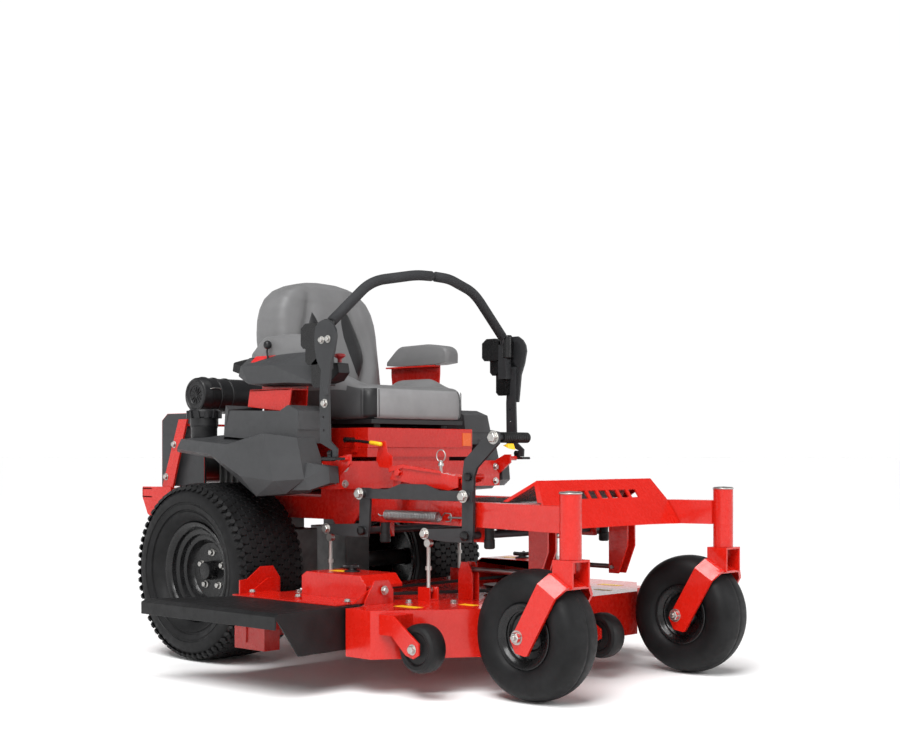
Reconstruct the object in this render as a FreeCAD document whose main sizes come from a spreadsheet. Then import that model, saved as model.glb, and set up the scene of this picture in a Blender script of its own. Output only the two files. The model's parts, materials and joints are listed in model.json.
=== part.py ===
import FreeCAD, Part
import math
import os
import re
import Sketcher

# Zero turn mower.  Millimetres, +X forward, +Y to the machine's left, +Z up.
# Sub-parts are drawn in the machine frame, whose origin is on the ground under
# the middle of the rear axle.  Each node is then moved by (row_x, row_y), so
# that the row's origin is the bottom centre of the whole machine's box.

DRIVING = {
    # wheels
    "rear_tyre_radius": 305, "rear_tyre_width": 280, "rear_track": 450,
    "rear_rim_radius": 170, "rear_rim_inset": 37, "front_tyre_radius": 190.5,
    "front_tyre_width": 148, "front_rim_radius": 94, "front_axle_x": 1393,
    # casters
    "caster_x": 1518, "caster_y": 391.5, "caster_tube_radius": 31.75,
    "caster_tube_low": 413, "caster_tube_high": 597, "spindle_radius": 15,
    "running_gap": 0.05, "fork_tilt": 31, "fork_inner": 78, "fork_wall": 9,
    "fork_reach": 197, "fork_width": 74,
    # frame
    "rail_low": 486, "rail_high": 562, "rail_inner": 200, "rail_width": 50.8,
    "rail_wall": 5, "rail_rear_x": -430, "bend_x": 800, "rail_front_x": 1500,
    "rail_front_y": 378, "hanger_x": 1222,
    # seat and body
    "seat_half": 247, "seat_front_x": 548, "seat_box_half": 258,
    "seat_box_low": 731, "seat_box_high": 798, "cushion_low": 829,
    "cushion_high": 944, "back_top": 1345, "plate_front_x": 563,
    "plate_half": 394, "plate_low": 595, "plate_high": 681,
    # levers
    "lever_y": 460, "lever_pivot_x": 603, "lever_base_z": 694, "lever_pivot_z": 712,
    "head_x": 571, "head_z": 1091, "grip_radius": 17.5, "grip_top": 1320,
    # lift linkage
    "front_pivot_x": 1071, "rear_pivot_x": 613, "pivot_z": 460,
    "lift_arm": 180, "crank_height": 121, "linkage_y": 331,
    "shaft_radius": 12, "plate_gauge": 10, "drag_arm": 285,
    # cutting deck
    "deck_low": 107, "deck_high": 250, "deck_gauge": 5, "deck_half": 660,
    "deck_front_x": 1190, "deck_corner_x": 985, "deck_rear_x": 335,
    "blade_length": 457, "side_spindle_x": 710, "side_spindle_y": 420,
    "mid_spindle_x": 930, "chute_y": 485, "chute_z": 291,
    "chute_tip_y": 925, "deflector_rear_x": 215, "deflector_front_x": 868,
    "scalp_radius": 72, "scalp_width": 62, "scalp_x": 1140, "scalp_y": 600, "scalp_z": 149,
    # rear
    "guard_rear_x": -530, "guard_low": 547, "guard_high": 583,
}
DRIVING["row_x"] = -(DRIVING["front_axle_x"] + DRIVING["front_tyre_radius"]
                     + DRIVING["guard_rear_x"]) / 2
DRIVING["row_y"] = (DRIVING["chute_tip_y"] - DRIVING["deck_half"]) / 2
RIGHT, LEFT = -1, 1
SIDES = (("right", RIGHT), ("left", LEFT))

doc = FreeCAD.newDocument("ZeroTurnMower")
sheet = doc.addObject("Spreadsheet::Sheet", "Sizes")
for row, (alias, number) in enumerate(DRIVING.items(), start=1):
    sheet.set(f"A{row}", alias)
    sheet.set(f"B{row}", str(number))
    sheet.setAlias(f"B{row}", alias)
doc.recompute()

NODES = {}
WORD = re.compile(r"[a-z][a-z_]+")


def rule(size):
    """An expression on the sheet's cells, from a number or a formula."""
    return WORD.sub(lambda m: "Sizes." + m.group(0) if m.group(0) in DRIVING
                    else m.group(0), str(size))


def number(size):
    """The value in mm of a number or of a formula on the driving sizes."""
    if isinstance(size, (int, float)):
        return size
    return FreeCAD.Units.Quantity(str(sheet.evalExpression(rule(size)))).Value


def bind(thing, **sizes):
    """Bind properties to formulas; place=(x, y, z) binds the Placement."""
    for name, size in sizes.items():
        if name == "place":
            for letter, value in zip("xyz", size):
                thing.setExpression(f"Placement.Base.{letter}", rule(value))
        else:
            thing.setExpression(name, rule(size))
    return thing


def add(kind, name):
    return doc.addObject(kind, name)


def box(name, x, y, z):
    """A block between two places on each axis."""
    block = add("Part::Box", name)
    spans = [f"({high}) - ({low})" for low, high in (x, y, z)]
    return bind(block, Length=spans[0], Width=spans[1], Height=spans[2],
                place=(x[0], y[0], z[0]))


TURN = {"X": FreeCAD.Rotation(FreeCAD.Vector(0, 1, 0), 90),
        "Y": FreeCAD.Rotation(FreeCAD.Vector(1, 0, 0), -90),
        "Z": FreeCAD.Rotation()}


def rod(name, axis, centre, radius, span):
    """A cylinder along an axis: centre gives the two other coordinates."""
    bar = add("Part::Cylinder", name)
    bar.Placement.Rotation = TURN[axis]
    place = list(centre)
    place.insert("XYZ".index(axis), span[0])
    return bind(bar, Radius=radius, Height=f"({span[1]}) - ({span[0]})", place=place)


def cut(name, base, tool):
    piece = add("Part::Cut", name)
    piece.Base = base
    piece.Tool = tool
    return piece


def fuse(name, *pieces):
    if len(pieces) == 1:
        return pieces[0]
    whole = add("Part::MultiFuse", name)
    whole.Shapes = list(pieces)
    return whole


def common(name, *pieces):
    whole = add("Part::MultiCommon", name)
    whole.Shapes = list(pieces)
    return whole


def group(name, *pieces):
    """Separate solids kept together in one node."""
    whole = add("Part::Compound", name)
    whole.Links = list(pieces)
    return whole


def ring(name, axis, centre, outer, inner, span):
    """A tube: the bore runs past both ends."""
    long_span = (f"({span[0]}) - 1", f"({span[1]}) + 1")
    return cut(name, rod(name + "_wall", axis, centre, outer, span),
               rod(name + "_bore", axis, centre, inner, long_span))


PLANES = {"XY": ("XY_Plane", 1), "XZ": ("XZ_Plane", -1), "YZ": ("YZ_Plane", 1)}


def outline(body, plane, points, holes, offset):
    """A closed sketch whose corners are dimensioned from the body's origin."""
    role, _ = PLANES[plane]
    sketch = body.newObject("Sketcher::SketchObject", body.Name + "_outline")
    sketch.AttachmentSupport = [(next(f for f in body.Origin.OriginFeatures
                                      if f.Role == role), "")]
    sketch.MapMode = "FlatFace"
    sketch.setExpression("AttachmentOffset.Base.z", rule(offset))
    corners = [FreeCAD.Vector(number(a), number(b), 0) for a, b in points]
    for index, corner in enumerate(corners):
        sketch.addGeometry(Part.LineSegment(corner, corners[(index + 1) % len(corners)]))
    for index in range(len(corners)):
        sketch.addConstraint(Sketcher.Constraint("Coincident", index, 2,
                                                 (index + 1) % len(corners), 1))
    for index, point in enumerate(points):
        for kind, size in zip(("DistanceX", "DistanceY"), point):
            dimension(sketch, kind, index, 1, size)
    for a, b, radius in holes:
        circle = sketch.addGeometry(Part.Circle(FreeCAD.Vector(number(a), number(b), 0),
                                                FreeCAD.Vector(0, 0, 1), number(radius)))
        dimension(sketch, "DistanceX", circle, 3, a)
        dimension(sketch, "DistanceY", circle, 3, b)
        row = sketch.addConstraint(Sketcher.Constraint("Radius", circle, number(radius)))
        sketch.setExpression(f"Constraints[{row}]", rule(radius))
    return sketch


def dimension(sketch, kind, index, end, size):
    row = sketch.addConstraint(Sketcher.Constraint(kind, -1, 1, index, end, number(size)))
    if not isinstance(size, (int, float)):
        sketch.setExpression(f"Constraints[{row}]", rule(size))


def plate(name, plane, points, span, holes=()):
    """A padded outline.  span is the stretch along the axis across the plane."""
    body = add("PartDesign::Body", name)
    low, high = span
    _, sense = PLANES[plane]
    offset = low if sense == 1 else f"-({high})"
    sketch = outline(body, plane, points, holes, offset)
    pad = body.newObject("PartDesign::Pad", name + "_pad")
    pad.Profile = sketch
    pad.setExpression("Length", rule(f"({high}) - ({low})"))
    sketch.Visibility = False
    return body


def turned(name, plane, points, place):
    """A revolved outline: first coordinate is the radius, second is along the
    axis, which is Y for plane XY and Z for plane XZ."""
    body = add("PartDesign::Body", name)
    sketch = outline(body, plane, points, (), 0)
    spin = body.newObject("PartDesign::Revolution", name + "_turn")
    spin.Profile = sketch
    spin.ReferenceAxis = (sketch, ["V_Axis"])
    spin.Angle = 360
    return bind(body, place=place)


def tube_path(name, radius, points):
    """A bent round bar through points, with balls at its bends."""
    spots = [FreeCAD.Vector(*[number(c) for c in point]) for point in points]
    solids = []
    for start, end in zip(spots, spots[1:]):
        solids.append(Part.makeCylinder(number(radius), (end - start).Length, start, end - start))
    for spot in spots[1:-1]:
        solids.append(Part.makeSphere(number(radius), spot))
    piece = add("Part::Feature", name)
    piece.Shape = solids[0].multiFuse(solids[1:]).removeSplitter()
    return piece


def node(name, piece):
    """Label a finished sub-part and move it from the machine to the row frame."""
    if piece.TypeId not in ("PartDesign::Body", "Part::Compound") or piece.Placement.Base.Length:
        piece = group(name + "_node", piece)
    elif any("Placement" in path for path, _ in piece.ExpressionEngine):
        piece = group(name + "_node", piece)
    piece.Label = name
    bind(piece, place=("row_x", "row_y", 0))
    NODES[name] = piece


def both(maker, name):
    """Make the same piece for the right and the left side."""
    return [maker(f"{name}_{word}", side) for word, side in SIDES]


def side_span(side, near, far):
    """A stretch of Y from near to far, measured outwards on one side."""
    if side == LEFT:
        return (near, far)
    return (f"-({far})", f"-({near})")


# ---------------------------------------------------------------- frame ----
def rail(name, side):
    """One main rail: a rectangular tube, straight, then splayed to the caster."""
    def shape(suffix, gap, rear, front, front_y, span):
        inner, outer = f"rail_inner + {gap}", f"rail_inner + rail_width - {gap}"
        points = [(rear, f"{side} * ({inner})"), (rear, f"{side} * ({outer})"),
                  ("bend_x", f"{side} * ({outer})"),
                  (front, f"{side} * ({front_y} + rail_width / 2 - {gap})"),
                  (front, f"{side} * ({front_y} - rail_width / 2 + {gap})"),
                  ("bend_x", f"{side} * ({inner})")]
        return plate(name + suffix, "XY", points, span)
    outer = shape("_skin", 0, "rail_rear_x", "rail_front_x", "rail_front_y",
                  ("rail_low", "rail_high"))
    splay_per_20 = 4.4
    inner = shape("_hollow", "rail_wall", "rail_rear_x - 10", "rail_front_x - 20",
                  f"rail_front_y - {splay_per_20}",
                  ("rail_low + rail_wall", "rail_high - rail_wall"))
    return cut(name, outer, inner)


def bearing_ears(name, side):
    """Two ears under a rail, one for each lift shaft."""
    ears = []
    for word, pivot, inner in (("front", "front_pivot_x", 262), ("rear", "rear_pivot_x", 218)):
        block = box(f"{name}_{word}", (f"{pivot} - 24", f"{pivot} + 24"),
                    side_span(side, inner, inner + 20), ("pivot_z - 22", "rail_low + 2"))
        bore = rod(f"{name}_{word}_bore", "Y", (pivot, "pivot_z"), "shaft_radius + running_gap",
                   side_span(side, inner - 1, inner + 21))
        ears.append(cut(f"{name}_{word}_ear", block, bore))
    return fuse(name, *ears)


def deck_hangers(name, side):
    """The pair of plates that the front end of a drag link hangs between."""
    shape = [("hanger_x", "rail_low + 2"), ("hanger_x + 74", "rail_low + 2"),
             ("hanger_x + 74", 415), ("hanger_x + 38", 325), ("hanger_x", 325)]
    hole = [("hanger_x + 15", 345, 6.05)]
    plates = [plate(f"{name}_{near}", "XZ", shape, side_span(side, near, near + 6), hole)
              for near in (179, 217)]
    return fuse(name, *plates)


def caster_tube(name, side):
    return rod(name, "Z", ("caster_x", f"{side} * caster_y"), "caster_tube_radius",
               ("caster_tube_low", "caster_tube_high"))


def spring_tab(name):
    return plate(name, "XZ", [(1020, 488), (1050, 488), (1056, 500), (1056, 524), (1046, 530),
                              (1036, 524), (1030, 510)], (-315, -298))


def frame_rails():
    bars = both(rail, "rail")
    cross = [box("rear_cross", ("rail_rear_x", "rail_rear_x + 50"),
                 ("-rail_inner - 3", "rail_inner + 3"), ("rail_low", "rail_high")),
             box("mid_cross", (500, 550), ("-rail_inner - 3", "rail_inner + 3"),
                 ("rail_low", "rail_high")),
             plate("front_cross", "XY", [(1215, -292), (1215, 292), (1300, 310), (1300, -310)],
                   ("rail_low", "rail_high")),
             box("engine_plate", (-400, 300), ("-rail_inner - 30", "rail_inner + 30"),
                 ("rail_high - 2", "rail_high + 8"))]
    tubes = both(caster_tube, "caster_tube")
    ears = both(bearing_ears, "shaft_ears") + both(deck_hangers, "deck_hangers")
    whole = fuse("frame_solid", *bars, *cross, *tubes, *ears, spring_tab("spring_tab"))
    bores = [rod(f"caster_bore_{word}", "Z", ("caster_x", f"{side} * caster_y"),
                 "spindle_radius + running_gap", ("caster_tube_low - 1", "caster_tube_high + 1"))
             for word, side in SIDES]
    node("frame_rails", cut("frame_bored", whole, fuse("caster_bores", *bores)))


def rear_frame():
    """Cross plate, side plates, seat tier and the console posts, all folded sheet."""
    sheets = [box("cross_plate", ("plate_front_x - 5", "plate_front_x"),
                  ("-plate_half", "plate_half"), ("plate_low", "plate_high")),
              box("deck_plate", (300, "plate_front_x"), ("-plate_half", "plate_half"),
                  ("plate_high", "plate_high + 5")),
              box("seat_tier", (110, 550), ("-seat_box_half", "seat_box_half"),
                  (700, "seat_box_low")),
              box("tier_foot", (300, 540), (-150, 150), ("plate_high + 4", 701))]
    for word, side in SIDES:
        sheets.append(box(f"side_plate_{word}", (330, "plate_front_x"),
                          side_span(side, "plate_half - 5", "plate_half"),
                          ("plate_low", "plate_high + 2")))
        sheets.append(box(f"frame_leg_{word}", (455, 555),
                          side_span(side, "rail_inner", "rail_inner + 50"),
                          ("rail_high", "plate_high + 2")))
        sheets.append(plate(f"lower_side_{word}", "XZ", [(330, 620), (330, 560), (420, 450),
                                                       (470, 450), (560, 560), (560, 620)],
                            side_span(side, 262, 268)))
        sheets.append(box(f"lower_tie_{word}", (340, 550), side_span(side, 262, 392),
                          (597, 603)))
        sheets.append(plate(f"lever_bracket_{word}", "XZ",
                            [(540, 640), (563, 640), (616, 678), (616, 708), (590, 708), (540, 684)],
                            side_span(side, "plate_half - 3", "plate_half + 5.5")))
        sheets.append(rod(f"lever_axle_{word}", "Y", ("lever_pivot_x", "lever_base_z"), 8,
                          side_span(side, "plate_half + 4", "lever_y - 22.5")))
    sheets += [box("brake_foot", (484, 502), (-269, -250), (716, "seat_box_low")),
               box("brake_post", (484, 502), (-269, -258.2), ("seat_box_low - 2", 770))]
    posts = []
    for word, side in SIDES:
        posts.append(plate(f"console_post_{word}", "XZ",
                           [(118, 690), (300, 690), (330, 1010), (330, 1040), (75, 1040),
                            (75, 1010)], side_span(side, 320, 326)))
        posts.append(box(f"post_foot_{word}", (118, 320), side_span(side, 250, 324), (700, 706)))
        posts.append(box(f"post_flange_{word}", (75, 330), side_span(side, 290, 322),
                         (1034, 1040)))
    node("rear_frame", fuse("rear_frame_solid", *sheets, *posts))


def front_panel():
    """Folded front sheet: a sloping lid and face between two faceted ends."""
    ridge, toe, heel = (1308, 288, 631), (1403, 160, 489), (1187, 300, 568)
    wing, lower = (1352, 314, 568), (1400, 324, 486)

    def wedge(back, down, squeeze):
        """The closed block under the sheet, moved back and down and made narrower."""
        def at(spot, side):
            return FreeCAD.Vector(spot[0] - back, side * spot[1] * squeeze, spot[2] - down)

        loops = [[at(low, RIGHT), at(low, LEFT), at(high, LEFT), at(high, RIGHT)]
                 for low, high in ((ridge, toe), (ridge, heel), (heel, toe))]
        for side in (RIGHT, LEFT):
            loops += [[at(spot, side) for spot in facet]
                      for facet in ((ridge, heel, wing), (wing, heel, lower), (ridge, wing, toe),
                                    (wing, lower, toe), (heel, lower, toe))]
        faces = [Part.Face(Part.makePolygon(loop + loop[:1])) for loop in loops]
        block = Part.makeSolid(Part.makeShell(faces))
        block.fix(0.001, 0.001, 0.001)
        return block

    cavity = wedge(3, 6, 0.982)
    tools = [cavity, Part.makeBox(160, 700, 100, FreeCAD.Vector(1185, -350, 466))]
    open_end = [FreeCAD.Vector(x, -350, z)
                for x, z in ((1303, 616), (1196, 560), (1334, 560), (1303, 616))]
    for start in (0, 620):
        end_face = Part.Face(Part.makePolygon([spot + FreeCAD.Vector(0, start, 0)
                                               for spot in open_end]))
        tools.append(end_face.extrude(FreeCAD.Vector(0, 80, 0)))
    slope = math.degrees(math.atan2(toe[0] - ridge[0], ridge[2] - toe[2]))
    for index in range(7):
        slot = Part.makeBox(60, 38, 30, FreeCAD.Vector(-30, -19, -15))
        slot.rotate(FreeCAD.Vector(), FreeCAD.Vector(0, 1, 0), -slope)
        slot.translate(FreeCAD.Vector(1338, (index - 3) * 52, 586))
        tools.append(slot)
    piece = add("Part::Feature", "front_sheet")
    piece.Shape = wedge(0, 0, 1).cut(tools)
    node("front_panel", piece)


def floor_pan():
    pan = plate("pan_sheet", "XY", [(640, -196), (640, 196), (800, 196), (1210, 282),
                                    (1210, -282), (800, -196)], (552, 557))
    tread = [box(f"pan_rib_{index}", (720 + 70 * index, 738 + 70 * index), (-180, 180), (556, 561))
             for index in range(7)]
    node("floor_pan", fuse("pan_solid", pan, *tread))


def engine_guard():
    """Rear bumper channel with uprights, and the dark heat shields behind them."""
    pieces = []
    back = box("guard_back", ("guard_rear_x", "guard_rear_x + 60"), (-400, 400),
               ("guard_low", "guard_high"))
    hollow = box("guard_hollow", ("guard_rear_x + 5", "guard_rear_x + 61"), (-405, 405),
                 ("guard_low + 5", "guard_high - 5"))
    bumper = cut("guard_channel", back, hollow)
    for word, side in SIDES:
        pieces.append(plate(f"guard_arm_{word}", "XZ",
                            [("guard_rear_x + 1", "guard_low"), (-395, "rail_low"), (-340, "rail_low"),
                             (-340, "rail_high"), (-440, "guard_high"), ("guard_rear_x + 1", "guard_high")],
                            side_span(side, "rail_inner + 50.8", "rail_inner + 60.8")))
        pieces.append(plate(f"guard_upright_{word}", "XZ",
                            [(-430, "guard_high - 4"), (-365, "guard_high - 4"), (-275, 837), (-325, 837)],
                            side_span(side, 376, 384)))
        pieces.append(box(f"guard_tie_{word}", (-480, -365), side_span(side, 250, 384),
                          ("guard_high - 6", "guard_high")))
    pieces.append(box("guard_top", (-330, -285), (-384, 384), (812, 820)))
    red = fuse("guard_solid", bumper, *pieces)
    shields = []
    for word, side in SIDES:
        sheet_metal = plate(f"shield_sheet_{word}", "XZ",
                            [(-464, 590), (-205, 590), (-205, 835), (-235, 860), (-430, 860),
                             (-464, 835)], side_span(side, 352, 358))
        notch = box(f"shield_notch_{word}", (-333, -282), side_span(side, 350, 360), (809, 823))
        shields.append(cut(f"shield_{word}", sheet_metal, notch))
    hitch = rod("hitch_bore", "Z", (-515, 0), 9.5, ("guard_low - 2", "guard_high + 2"))
    node("engine_guard", group("guard_group", cut("guard_bored", red, hitch), *shields))


# ------------------------------------------------------------ body work ----
def seat_box():
    shell = box("seat_box_outer", (110, 553), ("-seat_box_half", "seat_box_half"),
                ("seat_box_low", "seat_box_high"))
    inside = box("seat_box_inner", (114, 549), ("-seat_box_half + 4", "seat_box_half - 4"),
                 ("seat_box_low - 1", "seat_box_high - 4"))
    node("seat_box", cut("seat_box_solid", shell, inside))


def fuel_tank(name, side):
    """Faceted tank over a rear wheel: side outline and end outline together."""
    profile = plate(name + "_side", "XZ",
                    [(-176, 718), (-136, 762), (60, 746), (100, 872), (366, 847), (427, 868),
                     (470, 763), (505, 690), (568, 672), (574, 618), (534, 596), (415, 580), (268, 572),
                     (150, 655), (83, 695)], side_span(side, 270, 552))
    ends = plate(name + "_end", "YZ", [(side * 270, 560), (side * 470, 560), (side * 540, 625),
                                       (side * 552, 738), (side * 505, 785), (side * 470, 880),
                                       (side * 270, 880)], (-200, 700))
    plan = plate(name + "_plan", "XY",
                 [(-200, side * 270), (-200, side * 500), (-90, side * 552), (330, side * 552),
                  (600, side * 436), (600, side * 270)], (500, 950))
    pocket = box(name + "_pocket", (240, 700), side_span(side, 200, 400), (540, 697))
    notch = box(name + "_notch", (60, 345), side_span(side, 200, 332), (690, 900))
    return cut(name, common(name + "_body", profile, ends, plan),
               fuse(name + "_room", pocket, notch))


def filler_neck(name, side):
    return rod(name, "Z", (-85, f"{side} * 450"), 48, (756, 790))


def fuel_tanks():
    tanks = []
    for word, side in SIDES:
        tanks.append(fuse(f"tank_{word}_whole", fuel_tank(f"tank_{word}", side),
                          filler_neck(f"neck_{word}", side)))
    node("fuel_tanks", group("tank_pair", *tanks))
    for word, side in SIDES:
        spot = (-85, f"{side} * 450")
        crown = rod(f"cap_crown_{word}", "Z", spot, 61, (791, 868))
        node(f"fuel_cap_{word}", crown)


def control_console():
    """Right control housing beside the seat, with the switch pod at its front."""
    housing = plate("console_side", "XZ", [(62, 1000), (118, 942), (470, 932), (490, 944),
                                         (480, 1036), (390, 1040), (70, 1040)], (-424, -332))
    pod = plate("console_pod", "XZ", [(480, 940), (530, 948), (562, 975), (554, 1010),
                                      (480, 1010)], (-402, -340))
    support = plate("console_support", "XZ", [(100, 872.2), (318, 851.7), (332, 931), (112, 931)],
                    (-404, -398))
    ledge = box("console_ledge", (112, 330), (-404, -326.3), (925, 932))
    room = box("lever_room", (133, 237), (-394, -376), (985, 1060))
    node("control_console", group("console_group",
                                  cut("console_solid", fuse("console_union", housing, pod), room),
                                  fuse("console_bracket", support, ledge)))
    stem = plate("throttle_stem", "XZ", [(179, 992), (191, 992), (189, 1070), (181, 1070)],
                 (-387, -383))
    ball = add("Part::Sphere", "throttle_ball")
    bind(ball, Radius=15, place=(185, -385, 1085))
    node("throttle_lever", fuse("throttle_solid", stem, ball))
    node("pto_knob", turned("knob", "XZ", [(0, 0), (7, 0), (7, 8), (17, 14), (19, 22), (14, 29),
                                         (0, 31)], (531, -366, 1010.3)))


def armrests():
    pads = []
    for word, side in SIDES:
        pads.append(plate(f"pad_{word}", "XZ", [(35, 1050), (50, 1041), (345, 1041), (362, 1056),
                                              (358, 1100), (335, 1113), (95, 1113), (60, 1095)],
                          side_span(side, 296, 366)))
    node("armrest_pads", group("pad_pair", *pads))


# --------------------------------------------------------------- engine ----
def engine():
    block = [box("crankcase", (-300, 10), (-140, 140), ("rail_high + 8", 700))]
    for word, side in SIDES:
        block.append(box(f"cylinder_{word}", (-260, -90), side_span(side, 139, 235), (600, 700)))
        for index in range(5):
            low = -256 + 34 * index
            block.append(box(f"fin_{word}_{index}", (low, low + 10), side_span(side, 139, 250),
                             (596, 704)))
    node("engine_block", fuse("block_solid", *block))
    cover = rod("fan_cover", "Z", (-135, 0), 140, (750, 812))
    skirt = box("shroud_skirt", (-340, 40), (-235, 235), (705, 760))
    screen = rod("fan_screen", "Z", (-135, 0), 100, (811, 830))
    node("engine_shroud", fuse("shroud_solid", cover, skirt, screen))
    can = rod("filter_can", "Y", (-420, 933), 68, (-228, 60))
    lid = rod("filter_lid", "Y", (-420, 933), 72, (-240, -190))
    foot = box("filter_foot", (-440, -400), (-60, -20), (760, 870))
    pipe = box("filter_shelf", (-440, -341), (-60, -20), (740, 762))
    node("air_cleaner", fuse("cleaner_solid", can, lid, foot, pipe))
    silencer = rod("silencer", "Y", (-410, 660), 60, (-240, 240))
    outlet = rod("outlet", "Y", (-430, 640), 18, (-300, -230))
    stay = box("silencer_stay", (-398, -350), (-20, 20), ("rail_high + 8", 620))
    node("muffler", fuse("muffler_solid", silencer, outlet, stay))


def transaxles():
    units = []
    for word, side in SIDES:
        case = box(f"gear_case_{word}", (-110, 90), side_span(side, 70, 190), (240, 440))
        axle = rod(f"axle_{word}", "Y", (0, "rear_tyre_radius"), 30,
                   side_span(side, 189, "rear_track - 2"))
        mount = box(f"case_mount_{word}", (-60, 40), side_span(side, 90, 170), (439, "rail_high - 2"))
        units.append(fuse(f"transaxle_{word}", case, axle, mount))
    node("transaxles", group("transaxle_pair", *units))


# --------------------------------------------------------------- wheels ----
def tyre_outline(radius, width, rim, inset):
    """A tyre's section as (radius, side) pairs.  inset is how far the rim's
    flanges lie inside the tyre's two faces; the beads sit just inside them."""
    r, w = radius, f"{width} / 2"
    foot, lip, seat = f"{rim} - 17", f"{rim} + 1.5", f"({inset} + 6.5)"
    outer = [(foot, f"{w} - {seat}"), (lip, f"{w} - {seat}"), (f"{r} * 0.74", w),
             (f"{r} * 0.88", f"{w} - 1"), (f"{r} * 0.965", f"{w} * 0.78"), (r, f"{w} * 0.3")]
    inner = [(f"{r} * 0.94", f"{w} * 0.3"), (f"{r} * 0.9", f"{w} * 0.72"),
             (f"{r} * 0.74", f"{w} - 12"), (lip, f"{w} - {seat} - 14"),
             (foot, f"{w} - {seat} - 14")]
    far_outer = [(a, f"-({b})") for a, b in reversed(outer)]
    far_inner = [(a, f"-({b})") for a, b in reversed(inner)]
    return outer + far_outer + far_inner + inner


def rim_outline(radius, width, inset, disc, hub, side, bore):
    """Rim section: flanges, barrel, a dished disc and a hub with a bore."""
    r, w = radius, f"({width}) / 2 - {inset}"
    d0, d1 = (f"{disc} - 3", f"{disc} + 3")
    points = [(bore, f"{disc} - {hub}"), (f"{bore} + 18", f"{disc} - {hub}"),
              (f"{bore} + 18", d0), (f"{r} - 24", d0), (f"{r} - 24", f"-({w})"), (r, f"-({w})"),
              (r, f"-({w}) + 4"), (f"{r} - 18", f"-({w}) + 6"), (f"{r} - 18", f"({w}) - 6"),
              (r, f"({w}) - 4"), (r, w), (f"{r} - 24", w), (f"{r} - 24", d1),
              (f"{bore} + 18", d1), (f"{bore} + 18", f"{disc} + {hub}"), (bore, f"{disc} + {hub}")]
    return [(a, f"{side} * ({b})") for a, b in points]


def rear_wheel(word, side):
    place = (0, f"{side} * rear_track", "rear_tyre_radius")
    node(f"rear_tyre_{word}", turned(f"rear_tyre_{word}_body", "XY",
                                     tyre_outline("rear_tyre_radius", "rear_tyre_width",
                                                  "rear_rim_radius", "rear_rim_inset"), place))
    rim = turned(f"rear_rim_{word}_body", "XY",
                 rim_outline("rear_rim_radius", "rear_tyre_width", "rear_rim_inset", 25, 26, side,
                             16), place)
    cap = rod(f"hub_cap_{word}", "Y", (0, "rear_tyre_radius"), 33,
              side_span(side, "rear_track + 20", "rear_track + 65"))
    nuts = []
    for index in range(5):
        angle = math.radians(72 * index)
        nuts.append(rod(f"lug_{word}_{index}", "Y",
                        (62 * math.cos(angle), f"rear_tyre_radius + {62 * math.sin(angle):.2f}"), 11,
                        side_span(side, "rear_track + 20", "rear_track + 40")))
    node(f"rear_rim_{word}", fuse(f"rear_rim_{word}_whole", rim, cap, *nuts))


def caster_wheel(word, side):
    place = ("front_axle_x", f"{side} * caster_y", "front_tyre_radius")
    node(f"caster_tyre_{word}", turned(f"caster_tyre_{word}_body", "XY",
                                       tyre_outline("front_tyre_radius", "front_tyre_width",
                                                    "front_rim_radius", 14), place))
    node(f"caster_rim_{word}", turned(f"caster_rim_{word}_body", "XY",
                                      rim_outline("front_rim_radius", "front_tyre_width", 14, 0, 50,
                                                  side, "10 + running_gap"), place))


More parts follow.
